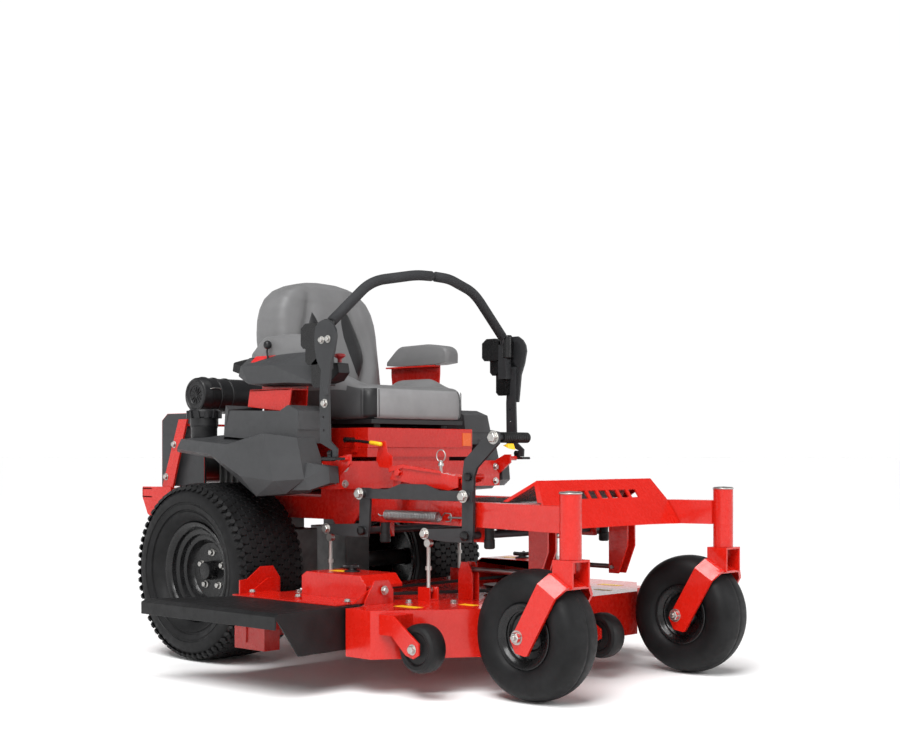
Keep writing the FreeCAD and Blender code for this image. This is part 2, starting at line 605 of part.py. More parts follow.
def caster_fork(word, side):
    """A strap bent into a U, tilted back from the spindle block to the axle."""
    wall, inner, reach = "fork_wall", "fork_inner", "fork_reach"
    outer = f"{inner} + {wall}"
    section = [(f"-({outer})", -45), (f"-({inner})", -45), (f"-({inner})", f"{reach} - 28"),
               (f"-({inner}) + 28", reach), (f"{inner} - 28", reach), (inner, f"{reach} - 28"),
               (inner, -45), (outer, -45), (outer, f"{reach} - 24"),
               (f"{outer} - 33", f"{reach} + {wall}"), (f"-({outer}) + 33", f"{reach} + {wall}"),
               (f"-({outer})", f"{reach} - 24")]
    strap = plate(f"strap_section_{word}", "YZ", section, (-80, 80))
    shape = plate(f"strap_side_{word}", "XZ", [(-17, -20), (18, -42), (50, -30), (57, -24),
                                             (57, 240), (-17, 240)],
                  (f"-({outer}) - 1", f"{outer} + 1"))
    yoke = common(f"yoke_{word}", strap, shape)
    bolt = rod(f"axle_bolt_{word}", "Y", (0, 0), 10, ("-fork_inner - 22", "fork_inner + 22"))
    head = rod(f"axle_head_{word}", "Y", (0, 0), 15, ("-fork_inner - 19", "-fork_inner - 8"))
    nut = rod(f"axle_nut_{word}", "Y", (0, 0), 15, ("fork_inner + 8", "fork_inner + 19"))
    tilted = fuse(f"tilted_{word}", yoke, bolt, head, nut)
    tilted.Placement.Rotation = FreeCAD.Rotation(FreeCAD.Vector(0, 1, 0), DRIVING["fork_tilt"])
    bind(tilted, place=("front_axle_x", f"{side} * caster_y", "front_tyre_radius"))
    y_mid = f"{side} * caster_y"
    block = box(f"block_outer_{word}", ("caster_x - 34", "caster_x + 38"),
                (f"{y_mid} - 40", f"{y_mid} + 40"), (335, "caster_tube_low - 0.5"))
    window = box(f"block_window_{word}", ("caster_x - 60", "caster_x + 60"),
                 (f"{y_mid} - 34", f"{y_mid} + 34"), (300, "caster_tube_low - 6.5"))
    slanted = add("Part::Feature", f"slant_tool_{word}")
    tool = Part.makeBox(240, 92, 140, FreeCAD.Vector(-120, -46, number("fork_reach") - 136))
    tool.rotate(FreeCAD.Vector(), FreeCAD.Vector(0, 1, 0), DRIVING["fork_tilt"])
    slanted.Shape = tool
    bind(slanted, place=("front_axle_x", y_mid, "front_tyre_radius"))
    stub = rod(f"spindle_{word}", "Z", ("caster_x", y_mid), "spindle_radius",
               (375, "caster_tube_high - 4"))
    square = cut(f"block_tube_{word}", block, window)
    head_block = cut(f"block_{word}", fuse(f"block_stub_{word}", square, stub), slanted)
    node(f"caster_fork_{word}", fuse(f"fork_{word}", tilted, head_block))


# ----------------------------------------------------------------- seat ----
def seat():
    base = [box("seat_pan", (115, 535), (-225, 225), (812, 828))]
    for word, side in SIDES:
        base.append(box(f"seat_slide_{word}", (150, 500), side_span(side, 150, 180),
                        ("seat_box_high + 0.3", 813)))
    node("seat_base", fuse("seat_base_solid", *base))
    cushion = [plate("cushion_mid", "XZ", [(95, 829), (520, 829), ("seat_front_x", 850),
                                         ("seat_front_x", 920), (520, 944), (95, 930)],
                     ("-seat_half", "seat_half"))]
    for word, side in SIDES:
        cushion.append(plate(f"bolster_{word}", "XZ", [(200, 925), (500, 935), (430, 972),
                                                     (330, 982), (230, 962)],
                             side_span(side, 165, "seat_half - 2")))
    node("seat_cushion", fuse("cushion_solid", *cushion))
    lean = plate("back_side", "XZ", [(90, 850), (90, 955), (138, 970), (78, "back_top - 25"),
                                   (45, "back_top"), (-30, "back_top - 4"), (-92, 1290),
                                   (-92, 1120), (-40, 900), (0, 850)], ("-seat_half", "seat_half"))
    front = plate("back_front", "YZ", [("-seat_half + 30", 850), ("seat_half - 30", 850),
                                     ("seat_half", 930), ("seat_half", 1150),
                                     (222, 1240), (165, 1315), (90, "back_top"),
                                     (-90, "back_top"), (-165, 1315), (-222, 1240),
                                     ("-seat_half", 1150), ("-seat_half", 930)], (-100, 200))
    node("seat_back", common("seat_back_solid", lean, front))


# --------------------------------------------------------------- levers ----
def control_lever(word, side):
    y_mid = f"{side} * lever_y"
    foot = box(f"lever_foot_{word}", (570, 636), (f"{y_mid} - 22", f"{y_mid} + 22"), ("lever_base_z - 4", "lever_base_z + 5"))
    hub = rod(f"lever_hub_{word}", "X", (y_mid, "lever_pivot_z"), 10, (583, 600))
    node(f"lever_base_{word}", fuse(f"lever_base_{word}_solid", foot,
                                    box(f"lever_stem_{word}", (583, 600),
                                        (f"{y_mid} - 8", f"{y_mid} + 8"), (698, 712)), hub))
    bar = plate(f"post_bar_{word}", "XZ",
                [(602, 700), (622, 700), (624, 726), (590, 752), (585, 900), (588, 1030), (552, 1030),
                 (541, 900), (543, 746), (602, 722)], (f"{y_mid} - 4", f"{y_mid} + 4"),
                [(561, 873, 4), (560, 829, 4), (562, 786, 4)])
    inboard = -side
    near, far = sorted((side * 460 + inboard * 4, side * 460 + inboard * 34))
    damper = box(f"damper_{word}", (528, 566), (near, far), (985, 1112))
    outer_near, outer_far = sorted((side * 460 - inboard * 4, side * 460 - inboard * 10))
    head = plate(f"head_plate_{word}", "XZ",
                 [(566, 915), (580, 915), (604, 1040), (612, 1082), (602, 1112), (585, 1124),
                  (562, 1122), (546, 1104), (541, 1072), (552, 1040)], (outer_near, outer_far))
    core = tube_path(f"lever_core_{word}", 10,
                     [(548, side * 438, 1100), (552, side * 418, 1142)])
    grip = tube_path(f"grip_{word}", "grip_radius",
                     [(552, side * 424, 1138), (565, side * 255, 1286),
                      (606, side * 80, "grip_top - 2"), (606, side * 6, "grip_top")])
    node(f"lever_arm_{word}", cut(f"lever_arm_{word}_solid",
                                  fuse(f"lever_arm_{word}_whole", bar, damper, head, core), grip))
    node(f"lever_grip_{word}", grip)


# ----------------------------------------------------------------- lift ----
def crank_arm(name, pivot, side):
    """The lever that points back from a lift shaft to a lift rod."""
    span = side_span(side, "linkage_y - plate_gauge / 2", "linkage_y + plate_gauge / 2")
    return plate(name, "XZ", [(f"{pivot} - lift_arm - 18", "pivot_z - 14"),
                              (f"{pivot} - lift_arm - 18", "pivot_z + 14"),
                              (f"{pivot} - 20", "pivot_z + 22"), (f"{pivot} + 20", "pivot_z + 16"),
                              (f"{pivot} + 20", "pivot_z - 20"), (f"{pivot} - 20", "pivot_z - 22"),
                              (f"{pivot} - 90", "pivot_z - 22")], span)


def lift_shafts():
    for word, pivot in (("front", "front_pivot_x"), ("rear", "rear_pivot_x")):
        shaft = rod(f"lift_bar_{word}", "Y", (pivot, "pivot_z"), "shaft_radius",
                    ("-linkage_y - 12", "linkage_y + 12"))
        arms = [crank_arm(f"arm_{word}_{side_word}", pivot, side)
                for side_word, side in SIDES]
        span = side_span(RIGHT, "linkage_y - plate_gauge / 2", "linkage_y + plate_gauge / 2")
        if word == "front":
            crank = plate("front_crank", "XZ",
                          [(f"{pivot} - 22", "pivot_z"), (f"{pivot} + 24", "pivot_z"),
                           (f"{pivot} + 28", 640), (f"{pivot} + 40", 668), (f"{pivot} + 128", 742),
                           (f"{pivot} + 128", 776), (f"{pivot} + 96", 782), (f"{pivot} - 12", 692),
                           (f"{pivot} - 20", 640)], span)
            peg = rod("pedal_peg", "Y", (f"{pivot} + 108", 760), 9, ("-linkage_y", -178))
            node("pedal_grip", ring("pedal_sleeve", "Y", (f"{pivot} + 108", 760), 16, 9.02,
                                    (-300, -180)))
            arms += [crank, peg]
        else:
            arms.append(plate("rear_crank", "XZ",
                              [(f"{pivot} - 22", "pivot_z"), (f"{pivot} + 24", "pivot_z"),
                               (f"{pivot} + 30", 560), (f"{pivot} + 28", 600), (f"{pivot} - 10", 600),
                               (f"{pivot} - 20", 560)], span))
        node(f"lift_shaft_{word}", fuse(f"lift_shaft_{word}_solid", shaft, *arms))
    near = "linkage_y + plate_gauge / 2 + 0.5"
    pin_x, pin_z = "front_pivot_x + 9", "pivot_z + crank_height"
    tail_x = "rear_pivot_x + 9"
    bar = plate("link_bar", "XZ",
                [(f"{tail_x} - 18", f"{pin_z} - 16"), (f"{pin_x} + 18", f"{pin_z} - 16"),
                 (f"{pin_x} + 18", f"{pin_z} + 16"), (960, f"{pin_z} + 16"), (900, f"{pin_z} + 34"),
                 (790, f"{pin_z} + 34"), (730, f"{pin_z} + 16"), (f"{tail_x} - 18", f"{pin_z} + 16")],
                side_span(RIGHT, near, f"{near} + 8"))
    heads = [rod(f"link_head_{word}", "Y", (spot, pin_z), 13,
                 side_span(RIGHT, f"{near} + 7", f"{near} + 20"))
             for word, spot in (("front", pin_x), ("rear", tail_x))]
    node("lift_link", fuse("lift_link_solid", bar, *heads))


def lift_spring():
    """Extension spring: a coil of round wire between two straight hooks."""
    coil = Part.makeHelix(9.0, 234, 15)
    start = FreeCAD.Vector(15, 0, 0)
    circle = Part.Wire(Part.makeCircle(2.6, start, FreeCAD.Vector(0, 1, 0)))
    body = Part.Wire(coil.Edges).makePipeShell([circle], True, True)
    hooks = [Part.makeCylinder(2.6, 15, FreeCAD.Vector(0, 0, 0), FreeCAD.Vector(1, 0, 0)),
             Part.makeCylinder(2.6, 30, FreeCAD.Vector(0, 0, -30), FreeCAD.Vector(0, 0, 1)),
             Part.makeCylinder(2.6, 15, FreeCAD.Vector(0, 0, 234), FreeCAD.Vector(1, 0, 0)),
             Part.makeCylinder(2.6, 104, FreeCAD.Vector(0, 0, 234), FreeCAD.Vector(0, 0, 1))]
    whole = body.multiFuse(hooks)
    whole.rotate(FreeCAD.Vector(), FreeCAD.Vector(0, 1, 0), 90)
    piece = add("Part::Feature", "spring_wire")
    piece.Shape = whole
    bind(piece, place=(690, -307, 512))
    node("lift_spring", piece)


def height_bracket():
    """Height-of-cut quadrant: a sloping channel with a row of pin holes."""
    channel = plate("quadrant_side", "XZ", [(700, 628), (722, 668), (760, 672), (1000, 640),
                                          (1000, 606), (960, 596), (760, 620)], (-300, -250))
    inside = plate("quadrant_room", "XZ", [(715, 628), (728, 662), (1010, 632), (1010, 590)],
                   (-294, -256))
    stay = box("quadrant_stay", (705, 740), (-290, -230), ("rail_high", 640))
    holes = [rod(f"pin_hole_{index}", "Z", (790 + 38 * index, -275), 5, (600, 700))
             for index in range(5)]
    node("height_bracket", cut("quadrant", fuse("quadrant_whole",
                                                cut("quadrant_channel", channel, inside), stay),
                               fuse("pin_holes", *holes)))
    pin = rod("detent_pin", "Z", (904, -275), 4.9, (620, 690))
    collar = rod("pin_collar", "Z", (904, -275), 9, (660, 672))
    loop = add("Part::Torus", "pin_loop")
    loop.Placement.Rotation = TURN["Y"]
    bind(loop, Radius1=17, Radius2=1.8, place=(904, -275, 706))
    node("height_pin", fuse("height_pin_solid", pin, collar, loop))


def brake_lever():
    bar = tube_path("brake_rod", 5, [(493, -300, 757), (560, -300, 752), (660, -300, 742)])
    node("brake_lever", fuse("brake_solid", bar, rod("brake_hub", "Y", (493, 757), 9,
                                                     (-308, -269.3))))


# ----------------------------------------------------------------- deck ----
def deck_plan(gap):
    """Plan outline of the deck, offset inwards by gap."""
    half, slant = f"deck_half - {gap}", f"{gap} * 1.25"
    return [(f"deck_rear_x + {gap}", "-560"), (f"deck_rear_x + {gap}", "560"),
            (f"deck_rear_x + 70", half), (f"deck_corner_x - {slant} * 0.6", half),
            (f"deck_front_x - {gap}", f"380 - {slant} * 0.3"),
            (f"deck_front_x - {gap}", f"-380 + {slant} * 0.3"),
            (f"deck_corner_x - {slant} * 0.6", f"-({half})"), ("deck_rear_x + 70", f"-({half})")]


def deck_shell():
    outer = plate("deck_outer", "XY", deck_plan(0), ("deck_low", "deck_high"))
    inner = plate("deck_inner", "XY", deck_plan(5), ("deck_low - 5", "deck_high - deck_gauge"))
    mouth = box("deck_mouth", (410, 878), (-700, -562), ("deck_low - 5", "deck_high + 1"))
    bores = [rod(f"spindle_bore_{index}", "Z", spot, "12.5 + running_gap",
                 ("deck_high - 10", "deck_high + 5"))
             for index, spot in enumerate(SPINDLES.values())]
    shell = cut("deck_hollow", outer, inner)
    skirt = box("discharge_skirt", (345, 495), (-655, -592), (85, "deck_high - 4"))
    lip = box("discharge_lip", (874, 880), (-656, -600), ("deck_low", "deck_high - 4"))
    node("deck_shell", fuse("deck_whole", cut("deck_cut", shell, fuse("deck_tools", mouth, *bores)),
                            skirt, lip))


SPINDLES = {"right": ("side_spindle_x", "-side_spindle_y"), "middle": ("mid_spindle_x", 0),
            "left": ("side_spindle_x", "side_spindle_y")}


def spindles():
    for word, (x, y) in SPINDLES.items():
        shaft = rod(f"spindle_shaft_{word}", "Z", (x, y), 12.5, (120, 292))
        hub = rod(f"spindle_hub_{word}", "Z", (x, y), 45, (150, "deck_high - deck_gauge - 3"))
        pulley = turned(f"pulley_{word}", "XZ", [(0, 0), (70, 0), (58, 12), (70, 24), (0, 24)],
                        (x, y, "deck_high + 8"))
        blade = box(f"blade_{word}", (f"{x} - 28", f"{x} + 28"),
                    (f"{y} - blade_length / 2", f"{y} + blade_length / 2"), (124, 130))
        node(f"blade_spindle_{word}", fuse(f"spindle_{word}_solid", shaft, hub, pulley, blade))
    around = belt_outline("belt_around", 73.5, "deck_high + 15", 10)
    within = belt_outline("belt_within", 64.5, "deck_high + 14", 12)
    node("deck_belt", cut("belt_loop", around, within))


def belt_outline(name, reach, low, height):
    """A block around the three pulleys, reaching past each axis by reach."""
    axes = add("Part::Polygon", name + "_axes")
    axes.Nodes = [FreeCAD.Vector(number(x), number(y), 0) for x, y in SPINDLES.values()]
    axes.Close = True
    wide = add("Part::Offset2D", name + "_wide")
    wide.Source = axes
    bind(wide, Value=reach)
    block = add("Part::Extrusion", name)
    block.Base = wide
    block.DirMode = "Custom"
    block.Dir = FreeCAD.Vector(0, 0, 1)
    block.Solid = True
    return bind(block, LengthFwd=height, place=(0, 0, low))


def wall_y(x):
    """Where the deck's oblique front wall is, at one x."""
    return f"deck_half - ({x} - deck_corner_x) * (deck_half - 380) / (deck_front_x - deck_corner_x)"


def deck_brackets():
    pieces = []
    rear = plate("chute_bracket_rear", "YZ", [(-632, 250), (-632, 300), (-600, 302), (-545, 340),
                                            (-492, 340), (-462, 300), (-462, 250)], (338, 344),
                 [("-chute_y", "chute_z", 6)])
    front = plate("chute_bracket_front", "YZ", [(-560, 250), (-560, 262), (-520, 322), (-462, 322),
                                              (-440, 290), (-440, 250)], (852, 858),
                  [("-chute_y", "chute_z", 6)])
    pieces += [rear, front]
    for word, side in SIDES:
        for near in (184, 212):
            pieces.append(plate(f"drag_clevis_{word}_{near}", "XZ",
                                [(925, 250), (985, 250), (985, 330), (968, 368), (938, 368),
                                 (925, 330)], side_span(side, near, near + 6)))
        for end, x_mid in (("front", "front_pivot_x - lift_arm"), ("rear", "rear_pivot_x - lift_arm")):
            block = box(f"rod_clevis_{end}_{word}", (f"{x_mid} - 25", f"{x_mid} + 25"),
                        side_span(side, 296, 340), (250, 292))
            slot = box(f"rod_slot_{end}_{word}", (f"{x_mid} - 26", f"{x_mid} + 26"),
                       side_span(side, 303, 333), (256, 293))
            pieces.append(cut(f"rod_bracket_{end}_{word}", block, slot))
        pieces.append(plate(f"scalp_arm_{word}", "XZ",
                            [(1005, 180), (1005, 240), (1060, 240), (1165, 167), (1165, 134),
                             (1142, 122), (1112, 130), (1055, 180)],
                            side_span(side, 636, 643), [("scalp_x", "scalp_z", 6)]))
        pieces.append(plate(f"scalp_foot_{word}", "XY",
                            [(x, f"{side} * ({wall_y(x)})") for x in (1005, 1060)]
                            + [(1060, side * 637), (1005, side * 637)], (180, 240)))
    pieces.append(plate("scalp_arm_middle", "XZ",
                        [("deck_front_x", 120), ("deck_front_x", 200), (1228, 200), (1293, 160),
                         (1293, 130), (1268, 118)], (43, 50), [(1268, 136, 6)]))
    node("deck_brackets", group("deck_bracket_set", *pieces))


def belt_covers():
    covers = []
    for word, side in SIDES:
        lid = plate(f"cover_{word}", "XZ", [(497, 250), (497, 318), (520, 332), (770, 332), (800, 300),
                                          (800, 250)], side_span(side, 342, 502))
        room = plate(f"cover_room_{word}", "XZ", [(502, 240), (502, 316), (522, 328), (768, 328),
                                                (795, 298), (801, 288), (801, 240)], side_span(side, 330, 497))
        covers.append(cut(f"belt_cover_{word}", lid, room))
    node("belt_covers", group("cover_pair", *covers))


def lift_rods():
    rods = []
    for word, side in SIDES:
        for end, x_mid in (("front", "front_pivot_x - lift_arm"), ("rear", "rear_pivot_x - lift_arm")):
            spot = (x_mid, f"{side} * 318")
            rods.append(fuse(f"lift_rod_{end}_{word}",
                             rod(f"rod_{end}_{word}", "Z", spot, 6, (270, 432)),
                             rod(f"rod_nut_{end}_{word}", "Z", spot, 10, (345, 357)),
                             rod(f"rod_eye_{end}_{word}", "Y", (x_mid, 282), 10,
                                 side_span(side, 306, 330)),
                             rod(f"rod_top_{end}_{word}", "Y", (x_mid, 430), 13,
                                 side_span(side, 309.5, 325.6))))
    node("lift_rods", group("lift_rod_set", *rods))


def drag_links():
    links = []
    for word, side in SIDES:
        bar = rod(f"drag_bar_{word}", "X", (f"{side} * 201", 345), 8,
                  ("hanger_x + 15 - drag_arm", "hanger_x + 15"))
        pin = rod(f"drag_pin_{word}", "Y", ("hanger_x + 15", 345), 6, side_span(side, 172, 230))
        eye = rod(f"drag_eye_{word}", "Y", ("hanger_x + 15", 345), 14, side_span(side, 192, 210))
        end = rod(f"drag_end_{word}", "Y", ("hanger_x + 15 - drag_arm", 345), 13,
                  side_span(side, 193, 205))
        links.append(fuse(f"drag_link_{word}", bar, pin, eye, end))
    node("drag_links", group("drag_link_pair", *links))


def chute():
    ears = [plate("chute_sheet", "XY", [(350, -668), (350, -504), (846, -504), (846, -668)],
                  (254, 258))]
    for word, span in (("rear", (346, 352)), ("front", (842, 848))):
        ears.append(plate(f"chute_ear_{word}", "YZ", [(-600, 256), (-520, 302), (-475, 302),
                                                    (-475, 256)], span))
    ears.append(rod("chute_pin_rear", "X", ("-chute_y", "chute_z"), 5.95, (334, 352)))
    ears.append(rod("chute_pin_front", "X", ("-chute_y", "chute_z"), 5.95, (842, 864)))
    for index in range(3):
        ears.append(rod(f"chute_bolt_{index}", "Z", (395 + 225 * index, -622), 9, (257, 265)))
    node("chute_plate", fuse("chute_solid", *ears))
    top = plate("deflector_top", "YZ", [(-580, 250.5), (-580, 253.8), (-905, 252),
                                      ("-chute_tip_y", 244), ("-chute_tip_y", 206), (-920, 206),
                                      (-917, 243), (-903, 246), (-690, 250.5)],
                ("deflector_rear_x", "deflector_front_x"))
    plan = plate("deflector_plan", "XY", [("deflector_rear_x", -930), ("deflector_front_x", -930),
                                        ("deflector_front_x", -575), (352, -575), (352, -690),
                                        ("deflector_rear_x", -905)], (100, 300))
    flap = plate("deflector_flap", "YZ", [(-600, 253), (-610, 125), (-835, 122), (-924, 244),
                                        (-903, 252)], ("deflector_front_x - 6", "deflector_front_x"))
    node("chute_deflector", fuse("deflector_solid", common("deflector_roof", top, plan), flap))


def scalp_wheels():
    """Anti-scalp rollers; each pin runs from the wheel through its arm."""
    spots = {"right": ("scalp_x", "-scalp_y", "scalp_z", -45), "middle": (1268, 84, 136, -43),
             "left": ("scalp_x", "scalp_y", "scalp_z", 45)}
    half = "scalp_width / 2"
    for word, (x, y, z, reach) in spots.items():
        wheel = turned(f"scalp_{word}", "XY",
                       [(0, f"-{half}"), ("scalp_radius - 12", f"-{half}"), ("scalp_radius", -18),
                        ("scalp_radius", 18), ("scalp_radius - 12", half), (0, half)], (x, y, z))
        span = (y, f"{y} + {reach}") if reach > 0 else (f"{y} - {-reach}", y)
        pin = rod(f"scalp_pin_{word}", "Y", (x, z), 5.95, span)
        node(f"anti_scalp_wheel_{word}", fuse(f"scalp_whole_{word}", wheel, pin))


def chassis_fasteners():
    bolts = []
    for word, side in SIDES:
        bolts.append(rod(f"tube_cap_{word}", "Z", ("caster_x", f"{side} * caster_y"), 31,
                         ("caster_tube_high", "caster_tube_high + 5")))
        for index, z in enumerate((612, 664)):
            bolts.append(rod(f"plate_bolt_{word}_{index}", "X", (side * 372, z), 9,
                             ("plate_front_x", "plate_front_x + 8")))
        for index, (x, z) in enumerate(((-385, 640), (-330, 770))):
            bolts.append(rod(f"guard_bolt_{word}_{index}", "Y", (x, z), 9,
                             side_span(side, 384, 392)))
    node("chassis_fasteners", group("fastener_set", *bolts))


def build():
    frame_rails()
    rear_frame()
    front_panel()
    floor_pan()
    engine_guard()
    seat_box()
    fuel_tanks()
    control_console()
    armrests()
    engine()
    transaxles()
    for word, side in SIDES:
        rear_wheel(word, side)
        caster_fork(word, side)
        caster_wheel(word, side)
        control_lever(word, side)
    seat()
    lift_shafts()
    lift_spring()
    height_bracket()
    brake_lever()
    deck_shell()
    deck_brackets()
    belt_covers()
    spindles()
    lift_rods()
    drag_links()
    chute()
    scalp_wheels()
    chassis_fasteners()


build()
doc.recompute()
faults = [thing.Name for thing in doc.Objects
          if "Invalid" in thing.State or "Error" in thing.State]
for label, piece in NODES.items():
    if piece.Shape.isNull() or not piece.Shape.isValid() or not piece.Shape.Solids:
        faults.append(label)
if faults:
    raise RuntimeError("failed: " + ", ".join(faults))
os.makedirs("parts", exist_ok=True)
for label, piece in NODES.items():
    piece.Shape.exportStep(f"parts/{label}.step")
whole = Part.makeCompound([piece.Shape for piece in NODES.values()])
print(len(NODES), "nodes", whole.BoundBox)
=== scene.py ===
import json
import math

import bmesh
import bpy
from mathutils import Matrix, Vector

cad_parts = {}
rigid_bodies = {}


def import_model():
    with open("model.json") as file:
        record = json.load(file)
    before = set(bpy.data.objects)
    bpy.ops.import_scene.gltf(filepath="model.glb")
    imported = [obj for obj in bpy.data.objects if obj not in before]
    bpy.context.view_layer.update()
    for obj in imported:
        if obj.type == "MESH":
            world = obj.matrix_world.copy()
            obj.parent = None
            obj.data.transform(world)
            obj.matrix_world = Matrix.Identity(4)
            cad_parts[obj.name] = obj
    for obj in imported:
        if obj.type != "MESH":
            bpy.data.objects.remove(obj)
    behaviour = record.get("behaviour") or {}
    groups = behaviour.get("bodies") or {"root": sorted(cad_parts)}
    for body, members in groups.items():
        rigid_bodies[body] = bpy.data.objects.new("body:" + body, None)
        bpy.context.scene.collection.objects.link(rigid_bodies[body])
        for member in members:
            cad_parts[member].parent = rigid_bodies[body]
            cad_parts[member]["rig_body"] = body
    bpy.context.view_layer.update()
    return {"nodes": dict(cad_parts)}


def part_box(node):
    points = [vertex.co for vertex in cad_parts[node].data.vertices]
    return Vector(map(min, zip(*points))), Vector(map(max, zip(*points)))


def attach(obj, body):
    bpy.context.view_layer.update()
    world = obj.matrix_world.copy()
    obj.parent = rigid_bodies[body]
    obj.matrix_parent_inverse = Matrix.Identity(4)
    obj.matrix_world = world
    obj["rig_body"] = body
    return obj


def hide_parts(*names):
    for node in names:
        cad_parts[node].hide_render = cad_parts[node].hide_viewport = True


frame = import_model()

# Looks of the zero turn mower.  Places are written in the machine frame: mm from
# the ground point under the middle of the rear axle, +X forward, +Y left, +Z up.
SIDES = (("right", -1), ("left", 1))


def middle(node):
    low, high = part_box(node)
    return (low + high) / 2


AXLE = (middle("rear_tyre_right") + middle("rear_tyre_left")) / 2
ORIGIN = Vector((AXLE.x, AXLE.y, 0))


def at(x, y, z):
    """A point of the machine frame, given in mm, as metres in the row frame."""
    return ORIGIN + Vector((x, y, z)) / 1000


def size(node):
    """Lowest and highest corner of a CAD node, in mm of the machine frame."""
    return [(corner - ORIGIN) * 1000 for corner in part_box(node)]


def blend_between(points, x):
    """The height of a polyline of (x, y) pairs at x."""
    if x <= points[0][0]:
        return points[0][1]
    for (x0, y0), (x1, y1) in zip(points, points[1:]):
        if x <= x1:
            return y0 + (y1 - y0) * (x - x0) / (x1 - x0)
    return points[-1][1]


def hump(x, centre, width):
    return math.exp(-((x - centre) / width) ** 2)


# ------------------------------------------------------------- materials ----
def surface(name, colour, roughness, metallic=0.0, grain=None, mottle=0.08, rough_spread=0.08,
            coat=0.0, sheen=0.0, specular=0.5):
    """A node material: mottled colour, uneven roughness and fine relief.
    grain is (texture, cells per metre, strength, height in m)."""
    material = bpy.data.materials.new(name)
    material.use_nodes = True
    nodes, links = material.node_tree.nodes, material.node_tree.links
    shader = nodes["Principled BSDF"]
    shader.inputs["Metallic"].default_value = metallic
    shader.inputs["Specular IOR Level"].default_value = specular
    shader.inputs["Coat Weight"].default_value = coat
    shader.inputs["Coat Roughness"].default_value = 0.08
    shader.inputs["Sheen Weight"].default_value = sheen
    place = nodes.new("ShaderNodeTexCoord").outputs["Object"]

    def texture(kind, scale, detail=3.0):
        node = nodes.new(kind)
        node.inputs["Scale"].default_value = scale
        if "Detail" in node.inputs:
            node.inputs["Detail"].default_value = detail
        links.new(place, node.inputs["Vector"])
        return node

    def ramp(source, low, high):
        node = nodes.new("ShaderNodeMapRange")
        node.inputs["From Min"].default_value = 0.3
        node.inputs["From Max"].default_value = 0.7
        node.inputs["To Min"].default_value = low
        node.inputs["To Max"].default_value = high
        links.new(source, node.inputs["Value"])
        return node.outputs["Result"]

    def mixed(share, first, second):
        node = nodes.new("ShaderNodeMix")
        node.data_type = "RGBA"
        links.new(share, node.inputs["Factor"])
        for socket, value in (("A", first), ("B", second)):
            target = [s for s in node.inputs if s.name == socket and s.type == "RGBA"][0]
            if isinstance(value, tuple):
                target.default_value = (*value, 1)
            else:
                links.new(value, target)
        return [s for s in node.outputs if s.type == "RGBA"][0]

    broad = texture("ShaderNodeTexNoise", 14.0)
    dim = tuple(c * (1 - mottle) for c in colour)
    bright = tuple(min(1.0, c * (1 + mottle) + 0.002) for c in colour)
    tint = mixed(ramp(broad.outputs["Fac"], 0, 1), dim, bright)
    links.new(tint, shader.inputs["Base Color"])
    streaks = texture("ShaderNodeTexNoise", 60.0)
    links.new(ramp(streaks.outputs["Fac"], max(0.03, roughness - rough_spread),
                   roughness + rough_spread), shader.inputs["Roughness"])
    if grain:
        kind, scale, strength, height = grain
        kind_node = "ShaderNodeTexVoronoi" if kind == "cells" else "ShaderNodeTexNoise"
        pattern = texture(kind_node, scale)
        bump = nodes.new("ShaderNodeBump")
        bump.inputs["Strength"].default_value = strength
        bump.inputs["Distance"].default_value = height
        links.new(pattern.outputs["Distance" if kind == "cells" else "Fac"], bump.inputs["Height"])
        links.new(bump.outputs["Normal"], shader.inputs["Normal"])
    return material


PEEL = ("noise", 350.0, 0.15, 0.00006)
RED = surface("red_powder_coat", (0.54, 0.009, 0.003), 0.27, grain=PEEL, coat=0.35, mottle=0.03,
              specular=0.35)
CHARCOAL = surface("charcoal_powder_coat", (0.026, 0.027, 0.029), 0.42, grain=PEEL, coat=0.05,
                   specular=0.35)
BLACK = surface("black_powder_coat", (0.006, 0.006, 0.0065), 0.30, grain=PEEL, coat=0.12,
                specular=0.30)
TANK = surface("tank_plastic", (0.040, 0.041, 0.043), 0.46, grain=("cells", 900.0, 0.30, 0.0003),
               mottle=0.06, specular=0.35)
PLASTIC = surface("black_plastic", (0.010, 0.010, 0.011), 0.40,
                  grain=("cells", 1100.0, 0.20, 0.0002), specular=0.35)
VINYL = surface("grey_vinyl", (0.150, 0.150, 0.152), 0.48, grain=("cells", 650.0, 0.25, 0.0003),
                sheen=0.05, mottle=0.05, specular=0.35)
# Seat cushion front face: the grey vinyl made paler, as painted light where the lamps fall.
LIT_FRONT_VINYL = surface("painted_light_vinyl", (0.240, 0.240, 0.243), 0.48,
                     grain=("cells", 650.0, 0.25, 0.0003), specular=0.35)
# Seat cushion sides: the grey vinyl made darker, as painted shade on faces turned away from the
# light.
SHADED_SIDE_VINYL = surface("painted_shade_vinyl", (0.055, 0.055, 0.057), 0.48,
                     grain=("cells", 650.0, 0.25, 0.0003), sheen=0.03, specular=0.35)
BLACK_VINYL = surface("black_vinyl", (0.010, 0.010, 0.011), 0.42,
                      grain=("cells", 650.0, 0.25, 0.0003), sheen=0.02, specular=0.35)
FOAM = surface("grip_foam", (0.030, 0.031, 0.033), 0.75, grain=("cells", 1500.0, 0.4, 0.0004),
               specular=0.20)
TYRE = surface("tyre_rubber", (0.0055, 0.0055, 0.006), 0.55, grain=("noise", 260.0, 0.15, 0.0004),
               mottle=0.35, specular=0.22)
RUBBER = surface("moulded_rubber", (0.006, 0.006, 0.0065), 0.50,
                 grain=("noise", 150.0, 0.35, 0.0010), mottle=0.35, specular=0.30)
ZINC = surface("zinc_plate", (0.50, 0.49, 0.47), 0.36, metallic=1.0, mottle=0.08,
               rough_spread=0.04)
STEEL = surface("drawn_steel", (0.30, 0.30, 0.30), 0.40, metallic=1.0, mottle=0.12,
                grain=("noise", 300.0, 0.08, 0.0002))
CAST = surface("cast_alloy", (0.10, 0.10, 0.10), 0.5, metallic=0.8, mottle=0.25,
               grain=("noise", 380.0, 0.5, 0.0006))
